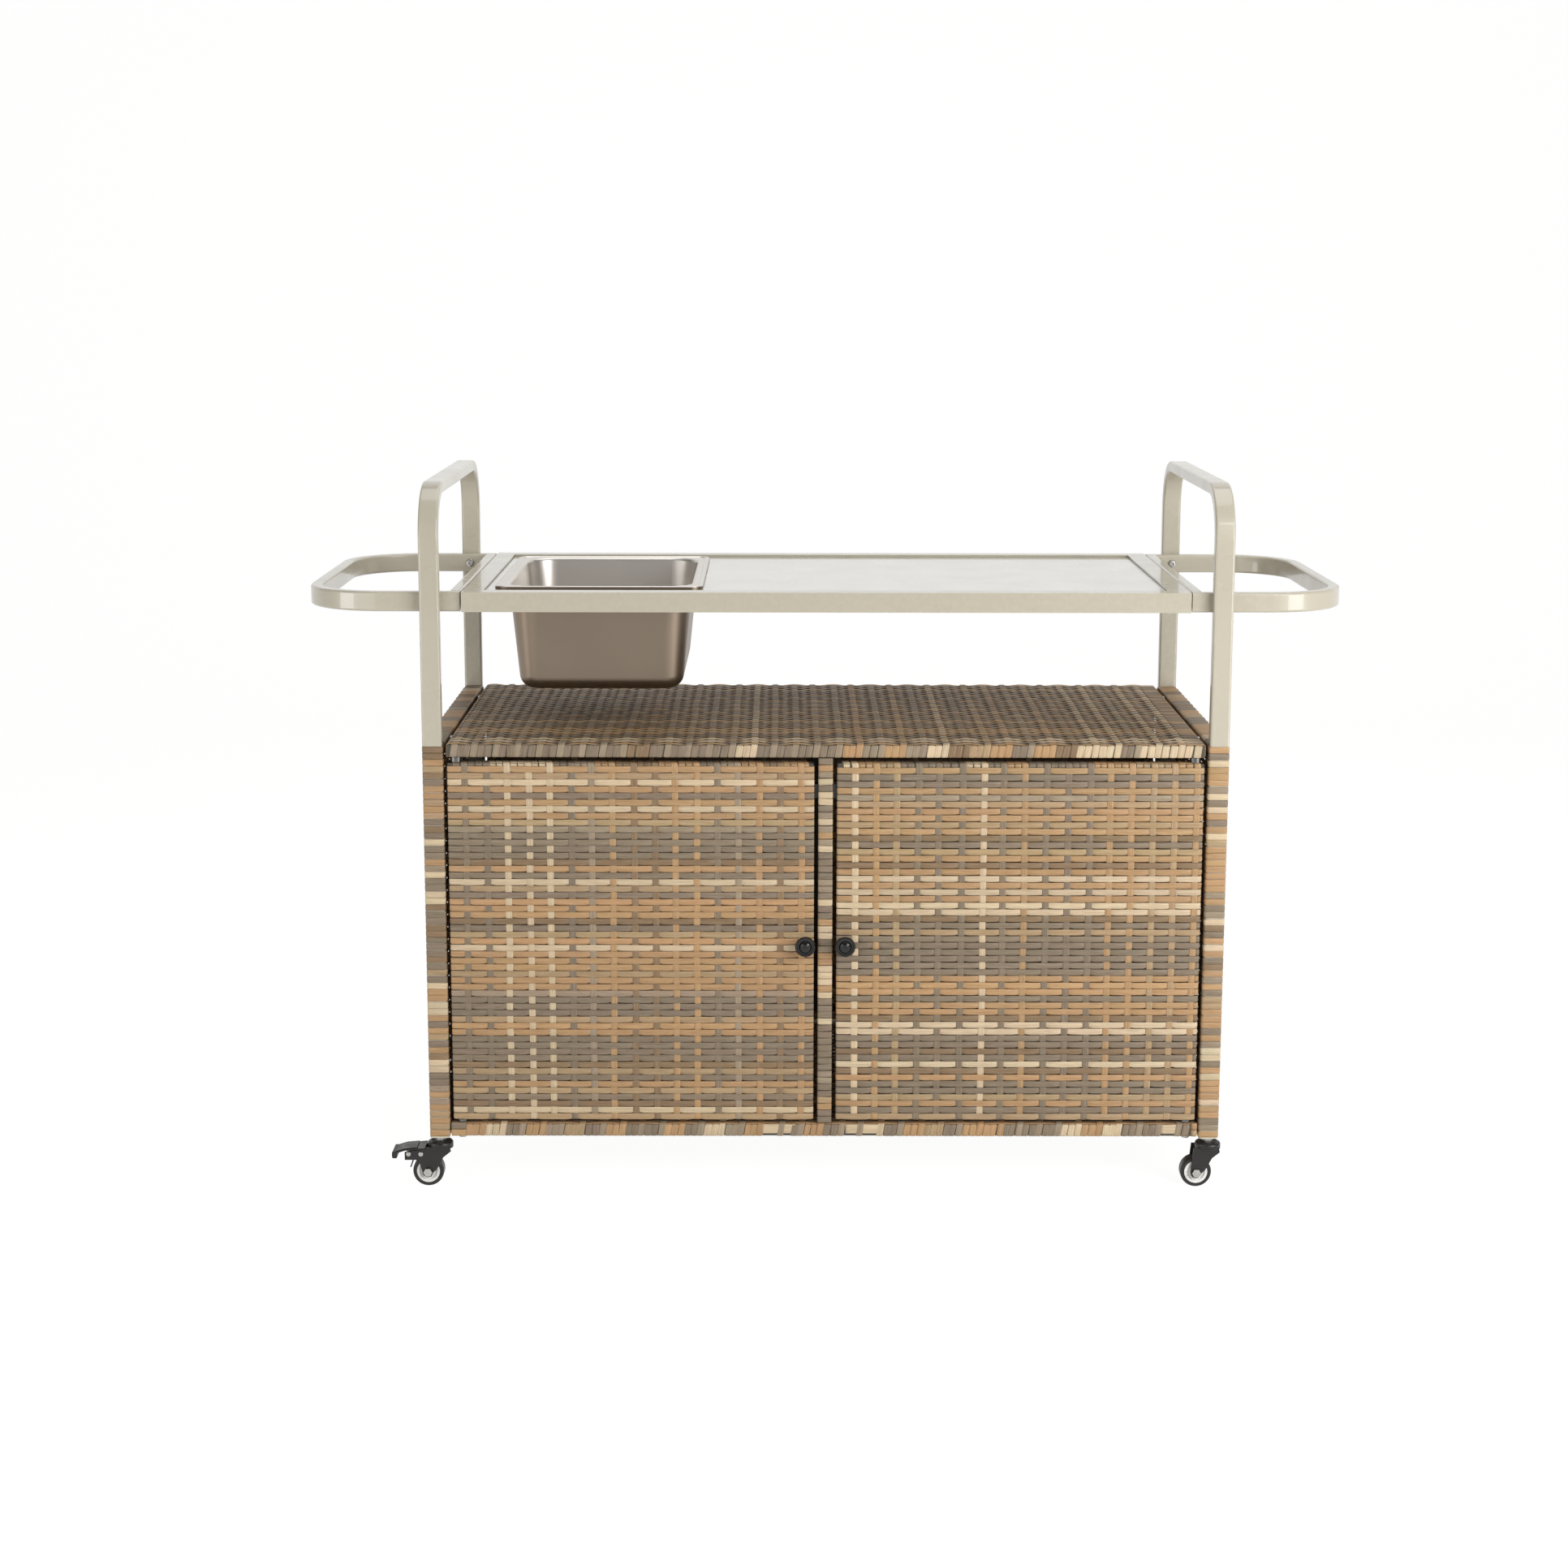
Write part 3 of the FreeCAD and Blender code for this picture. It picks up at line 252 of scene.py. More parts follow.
def strand_group():
    """Extruded flat strand: streaks along it, grooves across it and pale scuffs."""
    group, given, end = new_group("Strand grain", {"Vector": None, "Tone": MID_GREY})
    vector = given["Vector"]
    tone = given["Tone"]
    broad = noise(group, stretched(group, vector, (7.0, 26.0, 1.0)), 1.0, 3.0, 0.6)
    fine = noise(group, stretched(group, vector, (24.0, 42.0, 3.0)), 1.0, 2.0, 0.6)
    hair = noise(group, stretched(group, vector, (60.0, 90.0, 5.0)), 1.0, 1.0, 0.5)
    dark = blend_colour(group, 1.0, tone, (0.60, 0.55, 0.49), "MULTIPLY")
    pale = blend_colour(group, 0.26, tone, (0.92, 0.84, 0.70))
    streak = ranged(group, broad, 0.36, 0.62, 0.55, 0.0)
    mixed = blend_colour(group, streak, tone, dark)
    light = ranged(group, fine, 0.52, 0.72, 0.0, 0.6)
    mixed = blend_colour(group, light, mixed, pale)
    thread = ranged(group, hair, 0.30, 0.44, 0.42, 0.0)
    mixed = blend_colour(group, thread, mixed, dark)
    height = calc(group, "ADD", calc(group, "MULTIPLY", fine, 0.7), calc(group, "MULTIPLY", hair, 0.5))
    rough = ranged(group, fine, 0.3, 0.7, 0.42, 0.58)
    hand_out(group, end, Color=mixed, Roughness=rough, Height=height)
    return group


def brushed_group():
    """Drawn and brushed steel: fine lines one way and soft stains."""
    inputs = {"Vector": None, "Metal": MID_GREY, "Line depth": 1.0}
    group, given, end = new_group("Brushed lines", inputs)
    vector = given["Vector"]
    metal = given["Metal"]
    lines = noise(group, stretched(group, vector, (6.0, 6.0, 1300.0)), 1.0, 2.0, 0.6)
    stain = ranged(group, noise(group, vector, 9.0, 3.0), 0.35, 0.65, 0.0, 0.14)
    darker = blend_colour(group, 1.0, metal, (0.72, 0.71, 0.69), "MULTIPLY")
    mixed = blend_colour(group, stain, metal, darker)
    depth = given["Line depth"]
    dark_lines = calc(group, "MULTIPLY", ranged(group, lines, 0.35, 0.65, 0.25, 0.0), depth)
    mixed = blend_colour(group, dark_lines, mixed, darker)
    streaks = calc(group, "MULTIPLY", ranged(group, lines, 0.3, 0.7, -0.06, 0.06), depth)
    hand_out(group, end, Color=mixed, Roughness=calc(group, "ADD", streaks, 0.3), Height=lines)
    return group


def moulded_group():
    """Moulded plastic or thick paint: mottled sheen, scuffed patches and fine grain."""
    inputs = {"Vector": None, "Body": MID_GREY, "Scuff": MID_GREY, "Grain": 500.0}
    group, given, end = new_group("Moulded grain", inputs)
    vector = given["Vector"]
    patch = ranged(group, noise(group, vector, 45.0, 4.0), 0.5, 0.75, 0.0, 0.22)
    shown = blend_colour(group, patch, given["Body"], given["Scuff"])
    height = noise(group, vector, given["Grain"], 2.0, 0.5)
    sheen = ranged(group, noise(group, vector, 70.0, 3.0), 0.3, 0.7, 0.3, 0.5)
    hand_out(group, end, Color=shown, Roughness=sheen, Height=height)
    return group


def bowl_highlight_mask_group():
    """Mask that is 1 on faces that look up or in to an upright axis, and 0 on the rest; it places the pan's
    painted highlight.
    """
    inputs = {"Vector": None, "Normal": None, "Axis": None}
    group, given, end = new_group("Bowl side", inputs, ["Mask"])
    away = group.nodes.new("ShaderNodeVectorMath")
    away.operation = "SUBTRACT"
    group.links.new(given["Vector"], away.inputs[0])
    group.links.new(given["Axis"], away.inputs[1])
    facing = group.nodes.new("ShaderNodeVectorMath")
    facing.operation = "DOT_PRODUCT"
    group.links.new(stretched(group, away.outputs["Vector"], (1.0, 1.0, 0.0)), facing.inputs[0])
    group.links.new(given["Normal"], facing.inputs[1])
    inward = calc(group, "LESS_THAN", facing.outputs["Value"], -0.02)
    parts = group.nodes.new("ShaderNodeSeparateXYZ")
    group.links.new(given["Normal"], parts.inputs["Vector"])
    upward = calc(group, "GREATER_THAN", parts.outputs["Z"], 0.3)
    hand_out(group, end, Mask=calc(group, "MAXIMUM", inward, upward))
    return group


GROUP_MAKERS = {
    "Edge wear": edge_wear_group,
    "Powder coat": powder_group,
    "Strand grain": strand_group,
    "Brushed lines": brushed_group,
    "Moulded grain": moulded_group,
    "Bowl side": bowl_highlight_mask_group,
}


def place_group(tree, name, **values):
    """A group node in a material, its group built on first use and its inputs fed by name."""
    node = tree.nodes.new("ShaderNodeGroup")
    node.node_tree = bpy.data.node_groups.get(name) or GROUP_MAKERS[name]()
    for key, value in values.items():
        feed(tree, value, node.inputs[key])
    return node


# Materials

PAN_LINE_DEPTH = 0.12  # faint drawing lines on the pan
PAN_DULLNESS = (1.3, 1.25)  # roughness of the pan's outside and inside, against plain brushed steel


def blank_material(name):
    """A material with only a Principled BSDF; gives (material, tree, shader)."""
    material = bpy.data.materials.new(name)
    material.use_nodes = True
    return material, material.node_tree, material.node_tree.nodes["Principled BSDF"]


def dress(tree, shader, colours, rough, height, strength, distance):
    """Feeds the shader a colour and a roughness socket, and a height socket through a Bump node."""
    tree.links.new(colours, shader.inputs["Base Color"])
    tree.links.new(rough, shader.inputs["Roughness"])
    bump = tree.nodes.new("ShaderNodeBump")
    bump.inputs["Strength"].default_value = strength
    bump.inputs["Distance"].default_value = distance
    tree.links.new(height, bump.inputs["Height"])
    tree.links.new(bump.outputs["Normal"], shader.inputs["Normal"])


def object_vector(tree):
    """Object coordinates, which are the row frame in metres."""
    return tree.nodes.new("ShaderNodeTexCoord").outputs["Object"]


def worn_colour(tree, vector, base, worn, strength, breakup):
    """Base colour that fades to the worn colour along sharp edges."""
    wear = place_group(tree, "Edge wear", Vector=vector, Breakup=breakup)
    return blend_colour(tree, calc(tree, "MULTIPLY", wear.outputs["Mask"], strength), base, worn)


def powder_material(name, paint, dust, haze=0.3, peel=0.00001, gloss=0.0):
    """Powder coat with edge wear and a clear gloss."""
    material, tree, shader = blank_material(name)
    vector = object_vector(tree)
    coat = place_group(tree, "Powder coat", Vector=vector, Paint=paint, Dust=dust, Haze=haze).outputs
    shown = worn_colour(tree, vector, coat["Color"], shade(paint, 1.18), 0.5, 140.0)
    shader.inputs["Coat Weight"].default_value = gloss
    shader.inputs["Coat Roughness"].default_value = 0.06
    dress(tree, shader, shown, coat["Roughness"], coat["Height"], 0.5, peel)
    return material


def moulded_material(name, body, scuff, grain=500.0, wear=0.5, bump=0.00005, polish=1.0):
    """Moulded plastic, rubber or painted casting with edge wear."""
    material, tree, shader = blank_material(name)
    vector = object_vector(tree)
    grained = place_group(tree, "Moulded grain", Vector=vector, Body=body, Scuff=scuff, Grain=grain).outputs
    shown = worn_colour(tree, vector, grained["Color"], scuff, wear, 260.0)
    rough = calc(tree, "MULTIPLY", grained["Roughness"], polish)
    dress(tree, shader, shown, rough, grained["Height"], 0.5, bump)
    return material


def brushed_material(name, metal, bump=0.00002, bowl=None, axis=None):
    """Brushed or turned metal; bowl is the colour on the side that faces an upright axis, brighter there as a
    painted highlight and partly as a polished finish.
    """
    material, tree, shader = blank_material(name)
    vector = object_vector(tree)
    lines = place_group(tree, "Brushed lines", Vector=vector, Metal=metal)
    rough = lines.outputs["Roughness"]
    if bowl:
        normal = tree.nodes.new("ShaderNodeTexCoord").outputs["Normal"]
        highlight_side = place_group(tree, "Bowl side", Vector=vector, Normal=normal, Axis=axis)
        inside = highlight_side.outputs["Mask"]
        # The bowl side gets the brighter colour, a painted highlight; the rest keeps the darker colour, a
        # painted reflection.
        feed(tree, blend_colour(tree, inside, metal, bowl), lines.inputs["Metal"])
        feed(tree, PAN_LINE_DEPTH, lines.inputs["Line depth"])
        rough = calc(tree, "MULTIPLY", rough, ranged(tree, inside, 0.0, 1.0, *PAN_DULLNESS))
    shown = worn_colour(tree, vector, lines.outputs["Color"], shade(metal, 1.15), 0.6, 200.0)
    shader.inputs["Metallic"].default_value = 1.0
    dress(tree, shader, shown, rough, lines.outputs["Height"], 0.35, bump)
    return material


def wicker_material():
    """One wicker for every strand; tone and place along the strand come with the mesh."""
    material = bpy.data.materials.get("wicker strands")
    if material:
        return material
    material, tree, shader = blank_material("wicker strands")
    tone = tree.nodes.new("ShaderNodeAttribute")
    tone.attribute_name = "tone"
    place = tree.nodes.new("ShaderNodeAttribute")
    place.attribute_name = "strand"
    inputs = {"Vector": place.outputs["Vector"], "Tone": tone.outputs["Color"]}
    grain = place_group(tree, "Strand grain", **inputs).outputs
    shader.inputs["Specular IOR Level"].default_value = 0.5
    dress(tree, shader, grain["Color"], grain["Roughness"], grain["Height"], 0.5, 0.00012)
    return material


def mix_shaders(tree, factor, first, second, output):
    """Sends a mix of two shader sockets to the surface of an output node."""
    mixer = tree.nodes.new("ShaderNodeMixShader")
    for value, target in zip((factor, first, second), mixer.inputs):
        tree.links.new(value, target)
    tree.links.new(mixer.outputs["Shader"], tree.nodes[output].inputs["Surface"])


def paint_nodes(names, material):
    """Puts one material on CAD nodes."""
    for name in names:
        slots = NODES[name].data.materials
        if len(slots) == 0:
            slots.append(material)
        for at in range(len(slots)):
            slots[at] = material


# Strands

# Section of a strand, in widths and thicknesses, and the faces that close its ends
PROFILE = np.array([
    (-0.5, -0.2), (-0.46, 0.2), (-0.32, 0.45), (0.32, 0.45),
    (0.46, 0.2), (0.5, -0.2), (0.4, -0.5), (-0.4, -0.5),
])
CAP = ((0, 1, 6, 7), (1, 2, 5, 6), (2, 3, 4, 5))
TONES = {"T": "tan", "C": "cream", "U": "taupe", "G": "grey", "B": "brown", "L": "light"}
STRIP_GAP = 0.004  # free length after each strand in the texture map
GIRTH = 0.0185  # round one strand, which makes the map about square
SLACK = 1.02  # length of a shelf of the map against what it has to hold
SHELF_FROM, SHELF_SHARE = 0.04, 0.92  # the part of a shelf's height that a strip takes


class Strands:
    """Gathers flat strands and turns them into one mesh."""

    def __init__(self, settings, seed):
        self.settings = settings
        self.rng = np.random.default_rng(settings.seed * 1000 + seed)
        self.points = []
        self.quads = []
        self.tones = []
        self.places = []
        self.strips = []
        self.count = 0

    def tone(self, letter):
        """Colour of a strand, with a small shade of its own."""
        base = np.array(getattr(self.settings, TONES[letter]))
        return base * (1 + self.rng.normal(0, 0.045)) * (1 + self.rng.normal(0, 0.012, 3))

    def add(self, line, out, width, tone, closed=False):
        """Adds a strand along a line; out is the outward direction and width the width at each point."""
        line = np.asarray(line, float)
        n = len(line)
        if closed:
            ahead = np.roll(line, -1, 0) - np.roll(line, 1, 0)
        else:
            ahead = np.gradient(line, axis=0)
        ahead /= np.linalg.norm(ahead, axis=1)[:, None]
        out = np.broadcast_to(np.asarray(out, float), line.shape)
        out = out - ahead * np.sum(out * ahead, 1)[:, None]
        out = out / np.linalg.norm(out, axis=1)[:, None]
        side = np.cross(out, ahead)
        width = np.broadcast_to(width, (n,))
        thick = self.settings.thickness
        k = len(PROFILE)
        ring = (
            line[:, None, :]
            + side[:, None, :] * (PROFILE[None, :, 0] * width[:, None])[:, :, None]
            + out[:, None, :] * (PROFILE[None, :, 1] * thick)[:, :, None]
        )
        laps = n if closed else n - 1
        first = np.arange(laps)[:, None] * k
        after = (np.arange(laps)[:, None] + 1) % n * k
        now = np.arange(k)[None, :]
        then = (now + 1) % k
        quads = np.stack([first + then, first + now, after + now, after + then], -1).reshape(-1, 4)
        if not closed:
            ends = np.array(CAP)
            quads = np.concatenate([quads, ends, ends[:, ::-1] + (n - 1) * k])
        run = np.concatenate([[0], np.cumsum(np.linalg.norm(np.diff(line, axis=0), axis=1))])
        across = np.broadcast_to(PROFILE[None, :, 0], (n, k))
        along = np.broadcast_to(run[:, None], (n, k))
        key = np.full((n, k), self.rng.uniform(0, 900))
        self.points.append(ring.reshape(-1, 3))
        self.quads.append(quads + self.count)
        self.tones.append(np.broadcast_to(np.append(tone, 1.0), (n * k, 4)))
        self.places.append(np.stack([across + key * 0.37, along, key], -1).reshape(-1, 3))
        self.strips.append((n, laps, closed, run))
        self.count += n * k

    def strip_map(self):
        """Texture coordinates with one strip for each strand, on even shelves."""
        k = len(PROFILE)
        section = PROFILE * (8, 1.2)
        steps = np.linalg.norm(np.diff(section, axis=0, append=section[:1]), axis=1)
        girth = np.concatenate([[0], np.cumsum(steps)]) / steps.sum()
        total = sum(run[-1] + STRIP_GAP for n, laps, closed, run in self.strips)
        longest = max(run[-1] for n, laps, closed, run in self.strips) + STRIP_GAP
        wide = SLACK * max(longest, math.sqrt(total * GIRTH))
        rows, filled = 1, 0.0
        spots = []
        for n, laps, closed, run in self.strips:
            need = run[-1] + STRIP_GAP
            if closed:
                need += run[-1] / max(n - 1, 1)
            if filled + need > wide:
                rows, filled = rows + 1, 0.0
            spots.append((rows - 1, filled))
            filled += need
        result = []
        for (row, at), (n, laps, closed, run) in zip(spots, self.strips):
            u = (run + at) / wide
            if closed:
                u = np.append(u, u[-1] + (u[-1] - u[0]) / max(n - 1, 1))
            v = (row + SHELF_FROM + SHELF_SHARE * girth) / rows
            i = np.arange(laps)[:, None]
            j = np.arange(k)[None, :]
            block = np.empty((laps, k, 4, 2))
            for corner, (di, dj) in enumerate(((0, 1), (0, 0), (1, 0), (1, 1))):
                block[:, :, corner, 0] = u[i + di]
                block[:, :, corner, 1] = v[j + dj]
            result.append(block.reshape(-1, 2))
            if not closed:
                for end in (0, -1):
                    ring = [v[p] for quad in CAP for p in (quad if end == 0 else quad[::-1])]
                    result.append(np.stack([np.full(len(ring), u[end]), np.array(ring)], -1))
        return np.concatenate(result)

    def build(self, name, body, *nodes):
        """Makes the mesh object, which rides on a body and stands for CAD nodes."""
        points = np.concatenate(self.points)
        quads = np.concatenate(self.quads)
        mesh = bpy.data.meshes.new(name)
        mesh.vertices.add(len(points))
        mesh.vertices.foreach_set("co", points.astype(np.float32).ravel())
        mesh.loops.add(quads.size)
        mesh.loops.foreach_set("vertex_index", quads.astype(np.int32).ravel())
        mesh.polygons.add(len(quads))
        mesh.polygons.foreach_set("loop_start", np.arange(0, quads.size, 4, dtype=np.int32))
        mesh.update(calc_edges=True)
        mesh.polygons.foreach_set("use_smooth", np.ones(len(quads), bool))
        for key, kind, values in (("tone", "COLOR", self.tones), ("strand", "VECTOR", self.places)):
            layer = mesh.attributes.new(key, "FLOAT_" + kind, "POINT")
            layer.data.foreach_set(kind.lower(), np.concatenate(values).astype(np.float32).ravel())
        uv = mesh.uv_layers.new(name="OFBake")
        uv.data.foreach_set("uv", self.strip_map().astype(np.float32).ravel())
        mesh.materials.append(wicker_material())
        if mesh.validate():
            raise RuntimeError(name + " has bad faces")
        piece = bpy.data.objects.new(name, mesh)
        bpy.context.scene.collection.objects.link(piece)
        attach(piece, body)
        if nodes:
            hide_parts(*nodes)


def arc(centre, radius, start, end, steps):
    """Points of an arc in a plane, as (along, up) pairs; angles in degrees."""
    turn = np.radians(np.linspace(start, end, steps))
    return np.stack([centre[0] + radius * np.cos(turn), centre[1] + radius * np.sin(turn)], -1)


def wobble(rng, count, size, smooth=5):
    """A smooth random sequence of that size."""
    raw = rng.normal(0, 1, count + 2 * smooth)
    window = np.hanning(smooth * 2 + 1)
    line = np.convolve(raw, window / math.sqrt((window**2).sum()), "same")
    return line[smooth : smooth + count] * size


def letters(rng, start, count, weights="TTTTTTUUUCCGGGGGBBL"):
    """A colour order that begins with the given letters and goes on with seeded ones."""
    order = list(start[:count])
    while len(order) < count:
        order.append(weights[rng.integers(len(weights))])
    return order


# Places round each upright strand, in pitches, where a row gets a point
DENSE = (-0.36, -0.24, -0.12, 0.0, 0.12, 0.24, 0.36)
SPARSE = (-0.34, -0.17, 0.0, 0.17, 0.34)
ROW_MARGIN = 0.0025  # from an edge to the first row
TURN_LEAN = 0.003  # how far a turn leans over the depth of an edge
TURN_ROOM = 0.0091  # room along the edge for one turn
DIVE = 0.42  # a row that dives is down within this many pitches of an upright strand
TURN_SINK = (0.0009, 0.0012)  # how far a turn and its end lie under the upright strands
SWING_OVER, FADE = 0.012, 0.008  # rows swing this far past the outer uprights and fade over that length
CLEAR_END, CLEAR_BOTH = 0.008, 0.022  # edge without uprights, at the far end or at both ends together
BARE_BAND = 0.0125  # width of the band that shows where turns are missing
CORNER_FREE = 0.0003  # height left free over and under the two bands of a corner


class WovenPanel:
    """A framed panel: crosswise strands over upright ones on one face, all turned round its edges.

    The panel lies at corner + u * across + v * up and its woven face looks along out.
    Its size is (wide, high, depth of the edges), and strand ends run tail deep on its back.
    Rows fill row_span along v, as many as fit unless rows is given.
    Upright strands stand in warp_span along u, or from first on at a pitch.
    """

    def __init__(
        self, strands, corner, axes, size, tail,
        row_span=None, warp_span=None, rows=None, first=None, pitch=None,
    ):
        self.strands = strands
        self.corner = np.array(corner, float)
        self.across, self.up, self.out = (np.array(axis, float) for axis in axes)
        self.wide, self.high, self.depth = size
        self.tail = tail
        s = strands.settings
        self.inset = s.thickness / 2 + 0.0001
        self.set_crimp(1.0, 1.0)
        low, top = row_span or (ROW_MARGIN, self.high - ROW_MARGIN)
        self.rows = rows or int(round((top - low) / s.row_pitch))
        self.row_pitch = (top - low) / self.rows
        self.row_at = low + (np.arange(self.rows) + 0.5) * self.row_pitch
        self.row_width = s.width
        self.warp_pitch = pitch or s.warp_pitch
        left, right = warp_span or (0.0, self.wide)
        if first:
            self.columns = int((right - first - CLEAR_END) / self.warp_pitch) + 1
        else:
            self.columns = int((right - left - CLEAR_BOTH) / self.warp_pitch) + 1
            first = (left + right - (self.columns - 1) * self.warp_pitch) / 2
        self.warp_at = first + np.arange(self.columns) * self.warp_pitch
        self.warp_at = self.warp_at + strands.rng.normal(0, 0.0007, self.columns)

    def set_crimp(self, rows, warps):
        """How strongly crosswise and upright strands swing, against the settings."""
        s = self.strands.settings
        self.crimp = s.crimp * rows
        self.warp_crimp = s.warp_crimp * warps
        self.middle = -(max(self.crimp, self.warp_crimp) + s.thickness / 2)

    def close_rows(self, share):
        """Widens the rows by a share of the gap between them; 1 lets them touch."""
        s = self.strands.settings
        self.row_width = s.width + (self.row_pitch - s.width) * share

    def place(self, u, v, n):
        """World points of panel coordinates."""
        u, v, n = np.broadcast_arrays(u, v, n)
        return self.corner + u[..., None] * self.across + v[..., None] * self.up + n[..., None] * self.out

    def edge_turn(self, level):
        """Line from the back round an edge to a level of the face: (inward, out) pairs and outward angles."""
        radius = self.strands.settings.corner
        back = -self.depth + self.inset
        points = [(self.tail, back), ((self.tail + radius) / 2, back)]
        turns = [270.0, 270.0]
        low_centre = (self.inset + radius, back + radius)
        high_centre = (self.inset + radius, level - radius)
        for centre, start, end in ((low_centre, 270, 180), (high_centre, 180, 90)):
            points += [tuple(p) for p in arc(centre, radius, start, end, 4)]
            turns += list(np.linspace(start, end, 4))
        return np.array(points), np.radians(turns)

    def full_way(self, turn, angle, inner, total, axis):
        """Places and outward directions of a strand round one edge, along the face and round the other."""
        places = np.concatenate([turn[:, 0], inner, total - turn[::-1, 0]])
        sideways = np.concatenate([np.cos(angle), np.zeros(len(inner)), -np.cos(angle[::-1])])
        upright = np.concatenate([np.sin(angle), np.ones(len(inner)), np.sin(angle[::-1])])
        return places, sideways[:, None] * axis + upright[:, None] * self.out

    def beat_of_rows(self, u):
        """Which upright strand a place along a row is at, as a running number."""
        pitch = self.warp_pitch
        beat = np.interp(u, self.warp_at, np.arange(self.columns))
        beat = np.where(u < self.warp_at[0], (u - self.warp_at[0]) / pitch, beat)
        return np.where(u > self.warp_at[-1], self.columns - 1 + (u - self.warp_at[-1]) / pitch, beat)

    def weave_rows(self, order, points=DENSE, lean=0.0, dive=DIVE):
        """Crosswise strands, each turned round both side edges.

        They stay level and dive under an upright strand within dive pitches, or swing where dive is None.
        """
        s = self.strands.settings
        rng = self.strands.rng
        turn, angle = self.edge_turn(self.middle)
        first = self.inset + s.corner + 0.001
        last = self.wide - first
        u = (self.warp_at[:, None] + self.warp_pitch * np.array(points)[None, :]).ravel()
        u = np.concatenate([[first], np.sort(u[(u > first + 0.001) & (u < last - 0.001)]), [last]])
        beat = self.beat_of_rows(u)
        past = np.minimum(u - self.warp_at[0] + SWING_OVER, self.warp_at[-1] + SWING_OVER - u)
        fade = np.clip(past / FADE, 0, 1)
        count = len(turn)
        all_u, out = self.full_way(turn, angle, u, self.wide, self.across)
        slide = np.linspace(1, 0, count)
        for row, v in enumerate(self.row_at):
            if dive:
                away = np.abs((beat + row) % 2 - 1)
                wave = 1 - 2 * np.cos(np.pi / 2 * np.clip(away / dive, 0, 1)) ** 2
            else:
                wave = np.cos(np.pi * (beat + row))
            wave = wave * fade
            n = self.middle + self.crimp * wave
            drift = wobble(rng, len(u), 0.00009, 9) + rng.normal(0, 0.0001)
            width = self.row_width * (1 + 0.04 * wave - 0.012) * (1 + rng.normal(0, 0.01))
            leans = rng.normal(0, 1, 2) * lean
            all_n = np.concatenate([turn[:, 1], n, turn[::-1, 1]])
            ends = (drift[0] + leans[0] * slide, drift[-1] + leans[1] * slide[::-1])
            all_v = v + np.concatenate([ends[0], drift, ends[1]])
            wide = np.concatenate([np.full(count, width[0]), width, np.full(count, width[-1])])
            self.strands.add(self.place(all_u, all_v, all_n), out, wide, self.strands.tone(order[row]))

    def weave_warps(self, order, per_row=3):
        """Upright strands, each turned round the top and bottom edges."""
        s = self.strands.settings
        rng = self.strands.rng
        turn, angle = self.edge_turn(self.middle)
        first = self.inset + s.corner + 0.001
        v = np.linspace(first, self.high - first, self.rows * per_row + 1)
        beat = (v - self.row_at[0]) / self.row_pitch
        all_v, out = self.full_way(turn, angle, v, self.high, self.up)
        lean = TURN_LEAN * turn[:, 1] / self.depth
        for column, at in enumerate(self.warp_at):
            wave = -np.cos(np.pi * (beat + column))
            n = self.middle + self.warp_crimp * wave * (1.3 - 0.3 * wave**2)
            drift = wobble(rng, len(v), 0.0004, 30)
            all_n = np.concatenate([turn[:, 1], n, turn[::-1, 1]])
            all_u = at + np.concatenate([drift[0] + lean, drift, drift[-1] + lean[::-1]])
            width = s.warp_width * (1 + rng.normal(0, 0.015))
            self.strands.add(self.place(all_u, all_v, all_n), out, width, self.strands.tone(order[column]))

    def wrap_edges(self, order, margins, bare=(), reach=0.009):
        """Leaning turns before each upright strand that fill both edges, up to a margin at each end.

        In the bare stretches of the low edge the turns are missing and a lengthwise band shows.
        """
        s = self.strands.settings
        rng = self.strands.rng
        turn, angle = self.edge_turn(self.middle - TURN_SINK[0])
        turn = np.concatenate([turn, [(reach, self.middle - TURN_SINK[1])]])
        angle = np.append(angle, np.pi / 2)
        half = s.warp_width / 2
        gaps = np.concatenate([[margins[0] - half], self.warp_at, [self.wide - margins[1] + half]])
        spots = []
        for at, (start, end) in enumerate(zip(gaps[:-1], gaps[1:])):
            room = end - start - s.warp_width
            count = max(0, int(round(room / TURN_ROOM)))
            letter = order[min(at, len(order) - 1)]
            spots += [(start + half + room * (k + 0.5) / count, room / count, letter) for k in range(count)]
        for high_edge in (False, True):
            v = self.high - turn[:, 0] if high_edge else turn[:, 0]
            out_v = -np.cos(angle) if high_edge else np.cos(angle)
            out = out_v[:, None] * self.up + np.sin(angle)[:, None] * self.out
            for u, room, letter in spots:
                if not high_edge and any(start < u < end for start, end in bare):
                    continue
                lean = TURN_LEAN * turn[:, 1] / self.depth * (1 + rng.normal(0, 0.15))
                line = self.place(u + lean + rng.normal(0, 0.0001), v, turn[:, 1])
                self.strands.add(line, out, min(room, s.warp_width * 1.1), self.strands.tone(letter))
        for start, end in bare:
            u = np.linspace(start - 0.004, end + 0.004, 6)
            line = self.place(u, np.full(6, self.inset + 0.0003), np.full(6, -self.depth * 0.45))
            self.strands.add(line, -self.up, BARE_BAND, self.strands.tone("C"))

